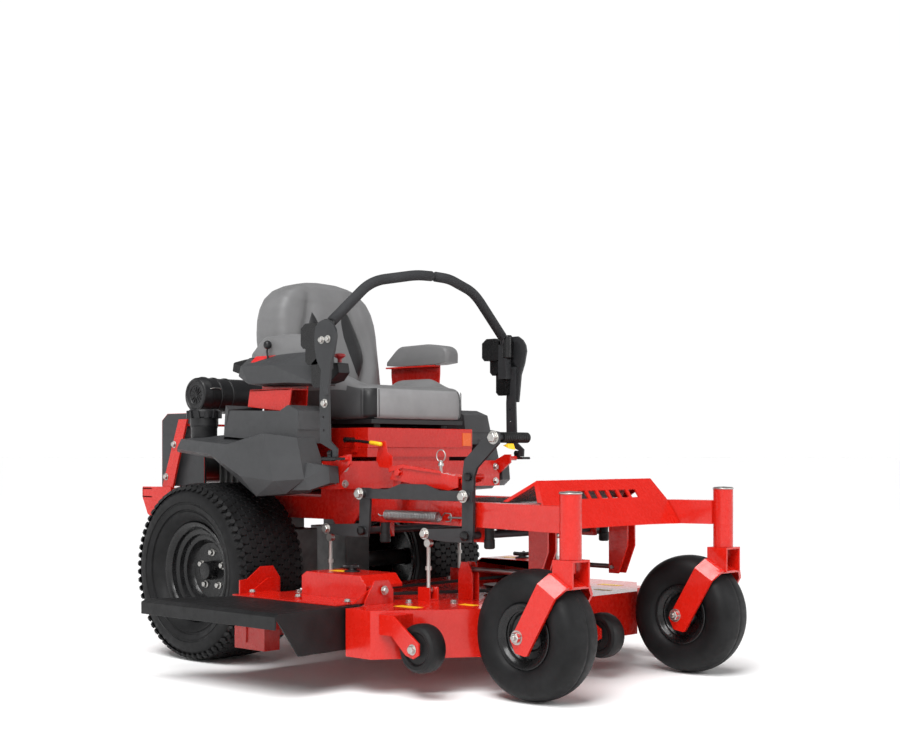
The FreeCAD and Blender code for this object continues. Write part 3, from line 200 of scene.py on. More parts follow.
YELLOW = surface("yellow_label", (0.85, 0.50, 0.01), 0.40, mottle=0.03)
WHITE = surface("white_label", (0.70, 0.70, 0.70), 0.45, mottle=0.03)
SIGN_RED = surface("red_label", (0.62, 0.012, 0.012), 0.35, mottle=0.04)
KNOB_RED = surface("red_knob_plastic", (0.26, 0.010, 0.012), 0.38, mottle=0.05)
ORANGE = surface("orange_reflector", (0.75, 0.12, 0.01), 0.25, mottle=0.03)


# -------------------------------------------------------------- builders ----
def piece(name, bm, body, material, replaces=(), bevel=0.0, smooth=38, segments=2,
          more=()):
    """Turn a bmesh into a named piece that rides on a body."""
    bmesh.ops.recalc_face_normals(bm, faces=bm.faces)
    mesh = bpy.data.meshes.new(name)
    bm.to_mesh(mesh)
    bm.free()
    for finish in (material, *more):
        mesh.materials.append(finish)
    thing = bpy.data.objects.new(name, mesh)
    bpy.context.scene.collection.objects.link(thing)
    mesh.shade_smooth()
    if bevel:
        edge = thing.modifiers.new("edges", "BEVEL")
        edge.width = bevel / 1000
        edge.segments = segments
        edge.limit_method = "ANGLE"
        edge.angle_limit = math.radians(smooth)
        edge.harden_normals = True
    mesh.set_sharp_from_angle(angle=math.radians(smooth))
    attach(thing, body)
    if replaces:
        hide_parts(*replaces)
    return thing


WELD_REACH = 2e-5      # metres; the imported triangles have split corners
FLAT_ANGLE = 1.5       # degrees


def skin(node, material, bevel):
    """A CAD node's own shape with its triangles joined and its edges rounded."""
    source = frame["nodes"][node]
    bm = bmesh.new()
    bm.from_mesh(source.data)
    bmesh.ops.remove_doubles(bm, verts=bm.verts, dist=WELD_REACH)
    bmesh.ops.dissolve_limit(bm, angle_limit=math.radians(FLAT_ANGLE), verts=bm.verts,
                             edges=bm.edges)
    return piece(node + "_skin", bm, source["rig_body"], material, (node,), bevel)


def axes_for(direction):
    """A matrix whose local Z axis points along a direction."""
    return Vector(direction).normalized().to_track_quat("Z", "Y").to_matrix().to_4x4()


def lathe(bm, profile, centre, axis, steps=72, closed=True):
    """Revolve (radius, along) pairs, in mm, round an axis through centre."""
    turn = Matrix.Translation(at(*centre)) @ axes_for(axis)
    rings = []
    for radius, along in profile:
        ring = []
        for step in range(steps):
            angle = 2 * math.pi * step / steps
            spot = Vector((radius * math.cos(angle), radius * math.sin(angle), along)) / 1000
            ring.append(bm.verts.new(turn @ spot))
        rings.append(ring)
    pairs = list(zip(rings, rings[1:]))
    if closed:
        pairs.append((rings[-1], rings[0]))
    else:
        for ring in (rings[0], rings[-1]):
            bm.faces.new(ring)
    for low, high in pairs:
        for step in range(steps):
            nxt = (step + 1) % steps
            bm.faces.new((low[step], low[nxt], high[nxt], high[step]))


def hull(bm, spots):
    """The convex block round machine frame points."""
    verts = [bm.verts.new(at(*spot)) for spot in spots]
    made = bmesh.ops.convex_hull(bm, input=verts)
    unused = [g for g in made["geom_interior"] + made["geom_unused"]
              if isinstance(g, bmesh.types.BMVert)]
    bmesh.ops.delete(bm, geom=list(set(unused)), context="VERTS")


def brick(bm, x, y, z):
    """A box between two values of each coordinate."""
    corners = [bm.verts.new(at(a, b, c)) for a in x for b in y for c in z]
    for loop in ((0, 1, 3, 2), (4, 6, 7, 5), (0, 4, 5, 1), (2, 3, 7, 6), (0, 2, 6, 4),
                 (1, 5, 7, 3)):
        bm.faces.new([corners[i] for i in loop])


def slab(bm, outline, y):
    """A plate in the XZ plane between two values of y."""
    loops = [[bm.verts.new(at(a, side, c)) for a, c in outline] for side in y]
    for loop in loops:
        bm.faces.new(loop)
    for index in range(len(outline)):
        nxt = (index + 1) % len(outline)
        bm.faces.new((loops[0][index], loops[0][nxt], loops[1][nxt], loops[1][index]))


WASHER_GAUGE = 1.6


def hexagon(bm, centre, axis, across, height, washer=True):
    """A bolt head or nut standing on a surface, on its washer."""
    turn = Matrix.Translation(at(*centre)) @ axes_for(axis)
    start = 0.0
    if washer:
        start = WASHER_GAUGE
        lathe(bm, [(across * 0.66, 0.0), (across * 0.66, start)], centre, axis, 24, False)
    rings = []
    for scale, along in ((1.0, start), (1.0, start + height * 0.8), (0.86, start + height)):
        rings.append([bm.verts.new(turn @ (Vector((
            scale * across / 2 * math.cos(math.pi * k / 3),
            scale * across / 2 * math.sin(math.pi * k / 3), along)) / 1000))
            for k in range(6)])
    for low, high in zip(rings, rings[1:]):
        for k in range(6):
            nxt = (k + 1) % 6
            bm.faces.new((low[k], low[nxt], high[nxt], high[k]))
    bm.faces.new(rings[0])
    bm.faces.new(rings[-1])


def rounded(points, radius, steps=6):
    """A route with its corners turned into arcs of about one radius."""
    route = [Vector(points[0])]
    for before, corner, after in zip(points, points[1:], points[2:]):
        before, corner, after = Vector(before), Vector(corner), Vector(after)
        back, ahead = before - corner, after - corner
        reach = min(radius, back.length * 0.45, ahead.length * 0.45)
        start, end = corner + back.normalized() * reach, corner + ahead.normalized() * reach
        for step in range(steps + 1):
            t = step / steps
            route.append(start * (1 - t) ** 2 + corner * 2 * t * (1 - t) + end * t ** 2)
    route.append(Vector(points[-1]))
    return route


def sweep(bm, route, radius, sides=16, round_ends=0.0):
    """A round bar along a route, its ends closed and softened."""
    spots = [Vector(p) for p in route]
    shares = [1.0] * len(spots)
    if round_ends:
        first = (spots[1] - spots[0]).normalized() * round_ends
        last = (spots[-2] - spots[-1]).normalized() * round_ends
        spots = [spots[0], spots[0] + first] + spots[1:-1] + [spots[-1] + last, spots[-1]]
        shares = [0.7] + [1.0] * (len(spots) - 2) + [0.7]
    normal = Vector((0, 0, 1))
    rings = []
    for index, spot in enumerate(spots):
        ahead = spots[min(index + 1, len(spots) - 1)] - spots[max(index - 1, 0)]
        ahead.normalize()
        normal = normal - ahead * normal.dot(ahead)
        if normal.length < 1e-4:
            normal = ahead.orthogonal()
        normal.normalize()
        other = ahead.cross(normal)
        reach = radius * shares[index]
        rings.append([bm.verts.new(at(*(spot + normal * reach * math.cos(2 * math.pi * k / sides)
                                        + other * reach * math.sin(2 * math.pi * k / sides))))
                      for k in range(sides)])
    for low, high in zip(rings, rings[1:]):
        for k in range(sides):
            nxt = (k + 1) % sides
            bm.faces.new((low[k], low[nxt], high[nxt], high[k]))
    bm.faces.new(rings[0])
    bm.faces.new(rings[-1])


def half_round(profile):
    """A profile from one face to the middle, mirrored to the other face."""
    return profile + [(r, -a) for r, a in reversed(profile) if abs(a) > 1e-6]


# ---------------------------------------------------------------- wheels ----
REAR_TYRE = [(154, 90), (166, 96), (173, 98), (182, 110), (198, 126), (206, 130), (208, 127.5),
             (213, 127.5), (215, 132.5), (232, 138), (234, 136), (239, 136), (241, 139.5),
             (256, 139.5), (270, 136), (282, 128), (290, 116), (294, 100), (296.5, 60), (297.5, 0)]
TREAD_TOP = 305.0
BLOCK_ROWS = (-104, -78, -52, -26, 0, 26, 52, 78, 104)
BLOCKS_ROUND = 62


def crown(offset):
    """Radius of the tread's top at a distance from the wheel's middle plane."""
    share = abs(offset) / 140
    return TREAD_TOP - 1.5 * share ** 2 - 15.0 * share ** 8


def tread_block(bm, centre, angle, offset, length, width, depth):
    """One moulded block: a six-sided stud that follows the crown."""
    low, high = [], []
    plan = ((-0.5, 0.0), (-0.26, 0.5), (0.26, 0.5), (0.5, 0.0), (0.26, -0.5), (-0.26, -0.5))
    for along, across in plan:
        for ring, scale, sink in ((low, 1.12, depth), (high, 0.88, 0.0)):
            side = offset + across * width * scale
            radius = crown(side) - sink
            turn = angle + along * length * scale / TREAD_TOP
            ring.append(bm.verts.new(at(centre[0] + radius * math.cos(turn), centre[1] + side,
                                        centre[2] + radius * math.sin(turn))))
    bm.faces.new(high)
    bm.faces.new(low)
    for k in range(6):
        nxt = (k + 1) % 6
        bm.faces.new((low[k], low[nxt], high[nxt], high[k]))


def rear_wheel(word, side):
    low, high = size(f"rear_tyre_{word}")
    centre = tuple((low + high) / 2)
    body = f"rear_wheel_{word}"
    bm = bmesh.new()
    inner = [(r - 9, a * 0.9) for r, a in REAR_TYRE[2:]]
    lathe(bm, half_round(REAR_TYRE) + list(reversed(half_round(inner))), centre, (0, 1, 0), 96)
    for number, offset in enumerate(BLOCK_ROWS):
        for k in range(BLOCKS_ROUND):
            angle = 2 * math.pi * (k + 0.5 * (number % 2)) / BLOCKS_ROUND
            tread_block(bm, centre, angle, offset, 33, 32, 7)
    for k in range(BLOCKS_ROUND):
        for edge in (-1, 1):
            angle = 2 * math.pi * (k + 0.5) / BLOCKS_ROUND
            tread_block(bm, centre, angle, edge * 127, 22, 19, 9)
    piece(f"rear_tyre_{word}_tread", bm, body, TYRE, (f"rear_tyre_{word}",))

    bm = bmesh.new()
    profile = [(16, 50), (33, 50), (33, 29), (52, 29), (82, 30), (96, 33), (103, 42), (108, 58),
               (117, 62), (124, 62), (128, 74), (137, 79), (144, 80), (148, 92), (154, 97),
               (163, 98), (168, 100), (171, 103), (169, 105), (164, 105), (158, 103), (152, 98),
               (147, 92), (147, 80), (146, 60), (146, -92), (152, -100), (158, -103), (168, -103),
               (171, -100), (168, -97), (150, -94), (142, -88), (142, 56), (132, 56), (112, 50),
               (104, 26), (60, 20), (34, 20), (34, -1), (16, -1)]
    lathe(bm, [(r, side * a) for r, a in profile], centre, (0, 1, 0), 96)
    cap = [(0.5, 66), (20, 66), (28, 64), (31, 58), (32, 30)]
    lathe(bm, [(r, side * a) for r, a in cap], centre, (0, 1, 0), 40, False)
    piece(f"rear_rim_{word}_steel", bm, body, BLACK, (f"rear_rim_{word}",),
          smooth=28)
    bm = bmesh.new()
    for k in range(5):
        angle = math.radians(72 * k + 18)
        spot = (centre[0] + 62 * math.cos(angle), centre[1] + side * 29,
                centre[2] + 62 * math.sin(angle))
        hexagon(bm, spot, (0, side, 0), 21, 13, washer=False)
        lathe(bm, [(14, 0), (14, 2), (11, 4)], spot, (0, side, 0), 20, False)
    piece(f"lug_nuts_{word}", bm, body, ZINC, bevel=0.6)
    bm = bmesh.new()
    valve = [(centre[0] - 88, centre[1] + side * 36, centre[2] + 92),
             (centre[0] - 84, centre[1] + side * 66, centre[2] + 88)]
    sweep(bm, valve, 3.6, 12, 1.5)
    lathe(bm, [(7, 0), (6.5, 6), (4, 11)], valve[0], (0, side, 0), 16, False)
    piece(f"tyre_valve_{word}", bm, body, RUBBER)


CASTER_TYRE = [(80, 49), (90, 53), (97, 56), (103, 63), (112, 68), (126, 72.5), (141, 74),
               (156, 72), (168, 66.5), (178, 56), (184, 43), (188, 28), (190.1, 12), (190.4, 2.2),
               (189.2, 0)]


def caster_wheel(word):
    low, high = size(f"caster_tyre_{word}")
    centre = tuple((low + high) / 2)
    body = f"caster_wheel_{word}"
    bm = bmesh.new()
    inner = [(r - 8, a * 0.86) for r, a in CASTER_TYRE[2:]]
    lathe(bm, half_round(CASTER_TYRE) + list(reversed(half_round(inner))), centre, (0, 1, 0), 96)
    piece(f"caster_tyre_{word}_rubber", bm, body, TYRE, (f"caster_tyre_{word}",))
    bm = bmesh.new()
    outer = [(10.5, 56), (17, 56), (22, 54), (24, 48), (25, 24), (32, 20), (40, 20), (46, 26),
             (58, 28), (66, 30), (70, 38), (74, 41), (80, 44), (84, 52), (89, 56), (94, 58),
             (95.5, 60), (93, 61.5), (88, 60), (83, 57), (78, 50), (74, 48)]
    both = outer + [(r, -a) for r, a in reversed(outer)]
    lathe(bm, both, centre, (0, 1, 0), 72)
    piece(f"caster_rim_{word}_steel", bm, body, BLACK, (f"caster_rim_{word}",),
          smooth=28)
    bm = bmesh.new()
    for edge in (-1, 1):
        lathe(bm, [(11, edge * 56.5), (21, edge * 56.5), (23, edge * 60), (20, edge * 62),
                   (11, edge * 62)], centre, (0, 1, 0), 40)
    piece(f"caster_hub_ring_{word}", bm, body, STEEL)


def caster_fork(word):
    skin(f"caster_fork_{word}", RED, 3.0)
    low, high = size(f"caster_tyre_{word}")
    x, y, z = (low + high) / 2
    bm = bmesh.new()
    for edge in (-1, 1):
        hexagon(bm, (x, y + edge * 87, z), (0, edge, 0), 32, 12)
        lathe(bm, [(8, 12), (8, 19), (6.5, 21)], (x, y + edge * 87, z), (0, edge, 0), 16, False)
    piece(f"axle_nuts_{word}", bm, f"caster_fork_{word}", ZINC, bevel=0.7)


# ------------------------------------------------------------- soft goods ----
def ringed(bm, rings, material_of=None):
    """Join closed rings of points into one skin with closed ends."""
    made = [[bm.verts.new(at(*spot)) for spot in ring] for ring in rings]
    for low, high in zip(made, made[1:]):
        for k in range(len(low)):
            nxt = (k + 1) % len(low)
            face = bm.faces.new((low[k], low[nxt], high[nxt], high[k]))
            if material_of:
                spot = (face.calc_center_median() - ORIGIN) * 1000
                face.material_index = material_of(*spot)
    for ring in (made[0], made[-1]):
        bm.faces.new(ring)


def oval(share, power):
    """A point of a unit superellipse; high powers are nearly rectangular."""
    angle = 2 * math.pi * share
    cosine, sine = math.cos(angle), math.sin(angle)
    reach = (abs(cosine) ** power + abs(sine) ** power) ** (-1 / power)
    return cosine * reach, sine * reach


BACK_WIDTH = [(850, 196), (872, 226), (915, 245), (1150, 247), (1195, 243), (1235, 231),
              (1275, 207), (1305, 174), (1326, 128), (1339, 74), (1344.5, 12)]
BACK_FRONT = [(850, 96), (890, 112), (955, 134), (1030, 126), (1150, 108), (1270, 88), (1318, 70),
              (1337, 42), (1344.5, 10)]
BACK_REAR = [(850, 30), (880, -10), (940, -50), (1040, -78), (1120, -91), (1270, -91),
             (1312, -78), (1334, -52), (1344.5, -12)]


def back_point(y, z, front=True):
    """A point of the seat back's padded shell at a width and a height."""
    wide, ahead, behind = (blend_between(table, z) for table in (BACK_WIDTH, BACK_FRONT,
                                                                BACK_REAR))
    share = min(1.0, abs(y) / wide)
    reach = (1 - share ** 4.2) ** (1 / 4.2) * (1 if front else -1)
    x = (ahead + behind) / 2 + (ahead - behind) / 2 * reach
    if front:
        fade = max(0, min(1, (z - 880) / 70, (1318 - z) / 60)) * reach
        crease = 96 + 58 * hump(z, 1080, 120)
        x += fade * (4 * hump(abs(y), 208, 34) - 20 * hump(abs(y), crease, 26))
    return x


def seat_back():
    rings = []
    steps, around = 90, 176
    for level in range(steps + 1):
        share = level / steps
        z = 850 + 494.5 * (1 - (1 - share) ** 1.35)
        wide = blend_between(BACK_WIDTH, z)
        ring = []
        for k in range(around):
            a, b = oval(k / around, 4.2)
            y = wide * b
            ring.append((back_point(y, z, a > 0), y, z))
        rings.append(ring)
    bm = bmesh.new()
    ringed(bm, rings)
    back = piece("seat_back_cover", bm, "seat", VINYL, ("seat_back",), smooth=70)
    outlines = {"left": ([(64, 1233), (40, 1215), (34, 1194), (40, 1140), (59, 1083), (86, 1010),
                          (101, 992)],
                         [(64, 1233), (84, 1215), (104, 1180), (122, 1131), (142, 1085),
                          (145, 1056), (101, 992)]),
                "right": ([(-92, 1226), (-80, 1190), (-76, 1150), (-82, 1100), (-96, 1060)],
                          [(-92, 1226), (-112, 1180), (-120, 1150), (-116, 1100), (-96, 1060)])}
    for word, (inner, outer) in outlines.items():
        low, high = inner[-1][1], inner[0][1]
        edges = [sorted((z, y) for y, z in side) for side in (inner, outer)]
        bm = bmesh.new()
        grid = []
        for row in range(29):
            z = low + (high - low) * row / 28
            y0, y1 = (blend_between(edge, z) for edge in edges)
            line = []
            for column in range(9):
                y = y0 + (y1 - y0) * column / 8
                line.append([bm.verts.new(at(back_point(y, z) + lift, y, z))
                             for lift in (0.9, -3.0)])
            grid.append(line)
        for low_line, high_line in zip(grid, grid[1:]):
            for column in range(8):
                corners = (low_line[column], low_line[column + 1], high_line[column + 1],
                           high_line[column])
                bm.faces.new([corner[0] for corner in corners])
                bm.faces.new([corner[1] for corner in reversed(corners)])
        for line, way in ((grid[0], 1), (grid[-1], -1)):
            for one, two in zip(line, line[1:]):
                bm.faces.new([one[0], one[1], two[1], two[0]][::way])
        for column in (0, 8):
            for low_line, high_line in zip(grid, grid[1:]):
                one, two = low_line[column], high_line[column]
                bm.faces.new((one[0], two[0], two[1], one[1]))
        bmesh.ops.remove_doubles(bm, verts=bm.verts, dist=1e-6)
        panel = piece(f"seat_back_insert_{word}", bm, "seat", BLACK_VINYL,
                      smooth=70)


def seat_cushion():
    centre_x, long_half, wide_half = 322, 226, 247
    levels = [(829.5, 12), (833, 4), (845, 0.5), (870, -0.5), (900, 0), (920, 2), (932, 7),
              (939, 13), (943, 21), (945.5, 32), (946.5, 46), (946.5, 64), (946, 84), (945, 106),
              (944, 128), (943, 150), (942, 172), (942, 192), (942, 208), (942, 220)]
    around = 200
    rings = []
    for z, inset in levels:
        ring = []
        for k in range(around):
            a, b = oval((k + 0.5) / around, 7.0)
            x = centre_x + max(2, long_half - inset) * a
            y = max(2, wide_half - inset) * b
            lift = 0
            if z > 900:
                along = min(1, max(0, (x - 140) / 110)) * min(1, max(0, (500 - x) / 130))
                lift = 38 * hump(abs(y), 214, 44) * (along * along * (3 - 2 * along))
                lift -= 7 * hump(abs(y), 0, 120) * hump(x, 320, 150)
                lift -= 3.0 * hump(abs(y), 158, 5) * along
            ring.append((x, y, z + lift * min(1, (z - 900) / 45)))
        rings.append(ring)

    def colour(x, y, z):
        if abs(y) > 203 and x > 505 and z < 934:
            return 2
        # Slot 1: the cushion sides take the darker vinyl as painted shade.
        if abs(y) > 225 and z < 934:
            return 1
        # Slot 3: the cushion's front face takes the paler vinyl as painted light.
        return 3 if x > 520 and z < 930 else 0

    bm = bmesh.new()
    ringed(bm, rings, colour)
    # Extra slots: painted shade on the sides, the black corner stripe, and painted light on the
    # front face.
    cushion = piece("seat_cushion_cover", bm, "seat", VINYL, ("seat_cushion",),
                    smooth=70, more=(SHADED_SIDE_VINYL, BLACK_VINYL, LIT_FRONT_VINYL))
    bm = bmesh.new()
    for edge in (-1, 1):
        sweep(bm, [(549, edge * 203, 834), (548.5, edge * 203, 880), (547, edge * 202, 928)],
              1.3, 8)
        sweep(bm, [(507, edge * 247.5, 834), (507, edge * 247.5, 926)], 1.3, 8)
    piece("seat_piping", bm, "seat", BLACK_VINYL)


def armrests():
    outline = [(68, 1046), (68, 1060), (118, 1106), (140, 1118), (282, 1121), (366, 1110),
               (386, 1098), (391, 1080), (390, 1048)]
    route = [(spot.x, spot.z) for spot in rounded([(x, 0, z) for x, z in outline], 14, 3)]
    for index, (word, side) in enumerate(SIDES):
        rings = []
        for level in range(19):
            share = level / 18
            y = 294 + 72 * share
            pinch = 9 * (2 * abs(share - 0.5)) ** 5
            ring = []
            for x, z in route:
                inward = min(1, max(-1, (235 - x) / 110))
                drop = min(1, max(0, (z - 1050) / 60))
                ring.append((x + pinch * inward, side * y, z - pinch * drop))
            for x in (330, 250, 150):
                ring.append((x, side * y, 1043))
            rings.append(ring)
        bm = bmesh.new()
        ringed(bm, rings)
        pad = piece(f"armrest_pad_{word}", bm, "chassis", VINYL,
                    ("armrest_pads",) if index == 0 else (), smooth=60)


# ------------------------------------------------------------- body work ----
def join_blocks(name, blocks, body, material, replaces, bevel):
    """Weld overlapping blocks into one moulded shell with soft edges."""
    base = None
    for index, spots in enumerate(blocks):
        bm = bmesh.new()
        hull(bm, spots)
        bmesh.ops.recalc_face_normals(bm, faces=bm.faces)
        mesh = bpy.data.meshes.new(f"{name}_{index}")
        bm.to_mesh(mesh)
        bm.free()
        thing = bpy.data.objects.new(mesh.name, mesh)
        bpy.context.scene.collection.objects.link(thing)
        if base is None:
            base = thing
            continue
        weld = base.modifiers.new("weld", "BOOLEAN")
        weld.operation = "UNION"
        weld.solver = "EXACT"
        weld.object = thing
        bpy.context.view_layer.update()
        joined = bpy.data.meshes.new_from_object(
            base.evaluated_get(bpy.context.evaluated_depsgraph_get()))
        base.modifiers.clear()
        base.data = joined
        bpy.data.objects.remove(thing)
    bm = bmesh.new()
    bm.from_mesh(base.data)
    bpy.data.objects.remove(base)
    bmesh.ops.remove_doubles(bm, verts=bm.verts, dist=1e-4)
    bmesh.ops.dissolve_limit(bm, angle_limit=math.radians(1.0), verts=bm.verts, edges=bm.edges)
    return piece(name, bm, body, material, replaces, bevel, 12, segments=3)


def fuel_tanks():
    shelf_rear, tip, low_rear = (-112, 530, 762), (-176, 498, 717), (-128, 536, 728)
    edge_a, edge_b, edge_c = (176, 552, 742), (341, 535, 778), (458, 488, 763)
    mid_d, mid_e, mid_f = (405, 543, 622), (243, 552, 637), (149, 552, 695)
    toe_g, toe_h, toe_i = (290, 520, 569), (427, 508, 580), (495, 488, 628)
    rear_part = [shelf_rear, tip, low_rear, edge_a, mid_f, (60, 552, 712), (-150, 300, 762),
                 (-176, 300, 717), (60, 300, 790), (149, 300, 650), (176, 300, 760)]
    main_part = [edge_a, edge_b, edge_c, mid_d, mid_e, mid_f, toe_g, toe_h, toe_i,
                 (60, 552, 718), (60, 300, 790), (458, 410, 763), (476, 400, 700),
                 (149, 300, 655), (290, 405, 569), (427, 405, 580), (495, 405, 628)]
    foot_part = [(456, 475, 668), (489, 468, 682), (565, 445, 670), (570, 445, 616),
                 (511, 480, 593), (495, 488, 628), (427, 500, 590), (440, 404, 590),
                 (440, 404, 680), (565, 404, 670), (570, 404, 616)]
    tower = [(57, 300, 876), (57, 466, 878), (78, 470, 862), (64, 480, 760), (40, 300, 760)]
    panel = [(64, 480, 770), (450, 480, 745), (76, 467, 860), (440, 467, 851), (324, 467, 848),
             (60, 334, 770), (76, 334, 860), (440, 334, 851), (452, 334, 745)]
    peak = [(330, 467, 846), (386, 466, 872), (440, 466, 853), (450, 474, 790), (330, 474, 790),
            (330, 334, 846), (386, 334, 872), (440, 334, 853), (450, 334, 790)]
    for index, (word, side) in enumerate(SIDES):
        blocks = [[(x, side * y, z) for x, y, z in block]
                  for block in (main_part, rear_part, foot_part, panel, peak, tower)]
        join_blocks(f"fuel_tank_{word}", blocks, "chassis", TANK,
                    ("fuel_tanks",) if index == 0 else (), 4.0)
        bm = bmesh.new()
        spot = (-85, side * 450, 0)
        lathe(bm, [(46, 745), (46, 800), (48, 803), (48, 807), (44, 808), (44, 745)], spot,
              (0, 0, 1), 48, False)
        piece(f"filler_neck_{word}", bm, "chassis", PLASTIC)
        bm = bmesh.new()
        lathe(bm, [(50, 808), (50, 836), (56, 840), (56, 861), (50, 867), (12, 868.5), (2, 868.5)],
              spot, (0, 0, 1), 72, False)
        for k in range(12):
            angle = 2 * math.pi * k / 12
            turn = Matrix.Translation(at(*spot)) @ Matrix.Rotation(angle, 4, "Z")
            made = bmesh.ops.create_cube(bm, size=1.0)["verts"]
            for vert in made:
                x, y, z = vert.co
                taper = 0.5 + 0.5 * (0.5 - z)
                vert.co = turn @ (Vector((57 + x * 10, y * 17 * taper, 849 + z * 27)) / 1000)
        piece(f"fuel_cap_{word}_ribbed", bm, f"fuel_cap_{word}", PLASTIC,
              (f"fuel_cap_{word}",), 1.2)

def control_console():
    edge_rear, edge_mid = (87, -424, 1014), (257, -424, 1011)
    ridge_mid, ridge_front = (276, -368, 1052), (392, -368, 1054)
    low_rear, low_mid, low_knee, low_front = ((130, -424, 950), (332, -424, 949),
                                              (408, -424, 947), (472, -424, 941))
    inner = [(40, -336, 1046), (276, -336, 1056), (470, -336, 1056), (118, -336, 944),
             (480, -336, 936)]
    tail = [(42, -350, 1049), (63, -415, 980), (58, -390, 972)]
    rear_block = [edge_rear, edge_mid, ridge_mid, low_rear, low_mid, *inner, *tail,
                  (250, -350, 1054)]
    front_block = [edge_mid, ridge_mid, ridge_front, low_mid, low_knee, low_front,
                   (470, -352, 1052), (484, -400, 1000), inner[1], inner[2], inner[3], inner[4]]
    join_blocks("control_console_shell", [rear_block, front_block], "chassis", TANK,
                ("control_console",), 3.0)
    bm = bmesh.new()
    slab(bm, [(100, 872.6), (318, 852), (332, 931), (112, 931)], (-404, -398))
    brick(bm, (112, 330), (-404, -326.3), (925, 932))
    piece("console_support", bm, "chassis", RED, bevel=1.5)
    bm = bmesh.new()
    hull(bm, [(484, -402, 942), (528, -400, 950), (560, -396, 976), (553, -396, 1008),
              (484, -402, 1010), (484, -340, 942), (528, -342, 950), (560, -346, 976),
              (553, -346, 1008), (484, -340, 1010)])
    piece("switch_pod", bm, "chassis", PLASTIC, bevel=3.0, smooth=20)
    bm = bmesh.new()
    corners = [(118, -404, 1025), (232, -404, 1022), (214, -362, 1049.5), (96, -362, 1050)]
    low = [bm.verts.new(at(x, y, z - 3)) for x, y, z in corners]
    high = [bm.verts.new(at(x, y, z + 2.2)) for x, y, z in corners]
    bm.faces.new(low)
    bm.faces.new(high)
    for k in range(4):
        bm.faces.new((low[k], low[(k + 1) % 4], high[(k + 1) % 4], high[k]))
    piece("throttle_label", bm, "chassis", SIGN_RED, bevel=0.4)
    bm = bmesh.new()
    hull(bm, [(6, -398, 1000), (66, -402, 985), (72, -402, 1018), (12, -398, 1030),
              (6, -352, 1002), (66, -352, 985), (52, -352, 1046), (10, -352, 1042)])
    piece("console_end_grip", bm, "chassis", RUBBER, bevel=5.0, smooth=20)
    bm = bmesh.new()
    sweep(bm, rounded([(186, -385, 996), (186, -385, 1046), (182, -386, 1062), (186, -385, 1078)],
                      10), 3.2, 12)
    lathe(bm, [(3, -15), (8, -12.7), (12, -9), (14.4, -4), (15, 0), (14.4, 4), (12, 9), (8, 12.7),
               (3, 14.8), (0.4, 15)], (185, -385, 1085), (0, 0, 1), 32, False)
    piece("throttle_lever_ball", bm, "throttle", PLASTIC, ("throttle_lever",),
          smooth=60)
    bm = bmesh.new()
    lathe(bm, [(7, 0), (7, 10), (9, 14), (15, 17), (19, 20), (20, 24), (18.5, 27.5), (12, 29.5),
               (0.6, 30.4)], (531, -366, 1010.5), (0, 0, 1), 40, False)
    piece("pto_knob_cap", bm, "pto_knob", KNOB_RED, ("pto_knob",), smooth=50)


def air_cleaner():
    bm = bmesh.new()
    spot = (-420, 0, 933)
    lathe(bm, [(20, 60), (60, 60), (66, 56), (66, -96), (69, -98), (69, -104), (66, -106),
               (66, -150), (70, -153), (70, -160), (67, -162), (67, -196), (71, -199), (71, -208),
               (69, -211), (66, -232), (62, -238), (54, -240), (50, -236), (38, -235), (36, -232),
               (6, -231)], spot, (0, 1, 0), 64, False)
    for k in range(6):
        angle = math.pi * k / 6
        reach = Vector((math.cos(angle), 0, math.sin(angle))) * 32
        centre = Vector((-420, -233, 933))
        sweep(bm, [centre - reach, centre + reach], 2.2, 8)
    brick(bm, (-440, -400), (-60, -20), (760, 880))
    brick(bm, (-440, -341), (-60, -20), (740, 762))
    piece("air_cleaner_can", bm, "chassis", PLASTIC, ("air_cleaner",), 0.8)
    bm = bmesh.new()
    for angle in (20, 150, 265):
        turn = math.radians(angle)
        out = Vector((math.cos(turn), 0, math.sin(turn)))
        centre = Vector((-420, 0, 933))
        clip = ((68, -214), (76, -200), (76, -176), (68, -166))
        sweep(bm, [centre + out * lift + Vector((0, y, 0)) for lift, y in clip], 2.4, 8)
    piece("air_cleaner_clips", bm, "chassis", ZINC)


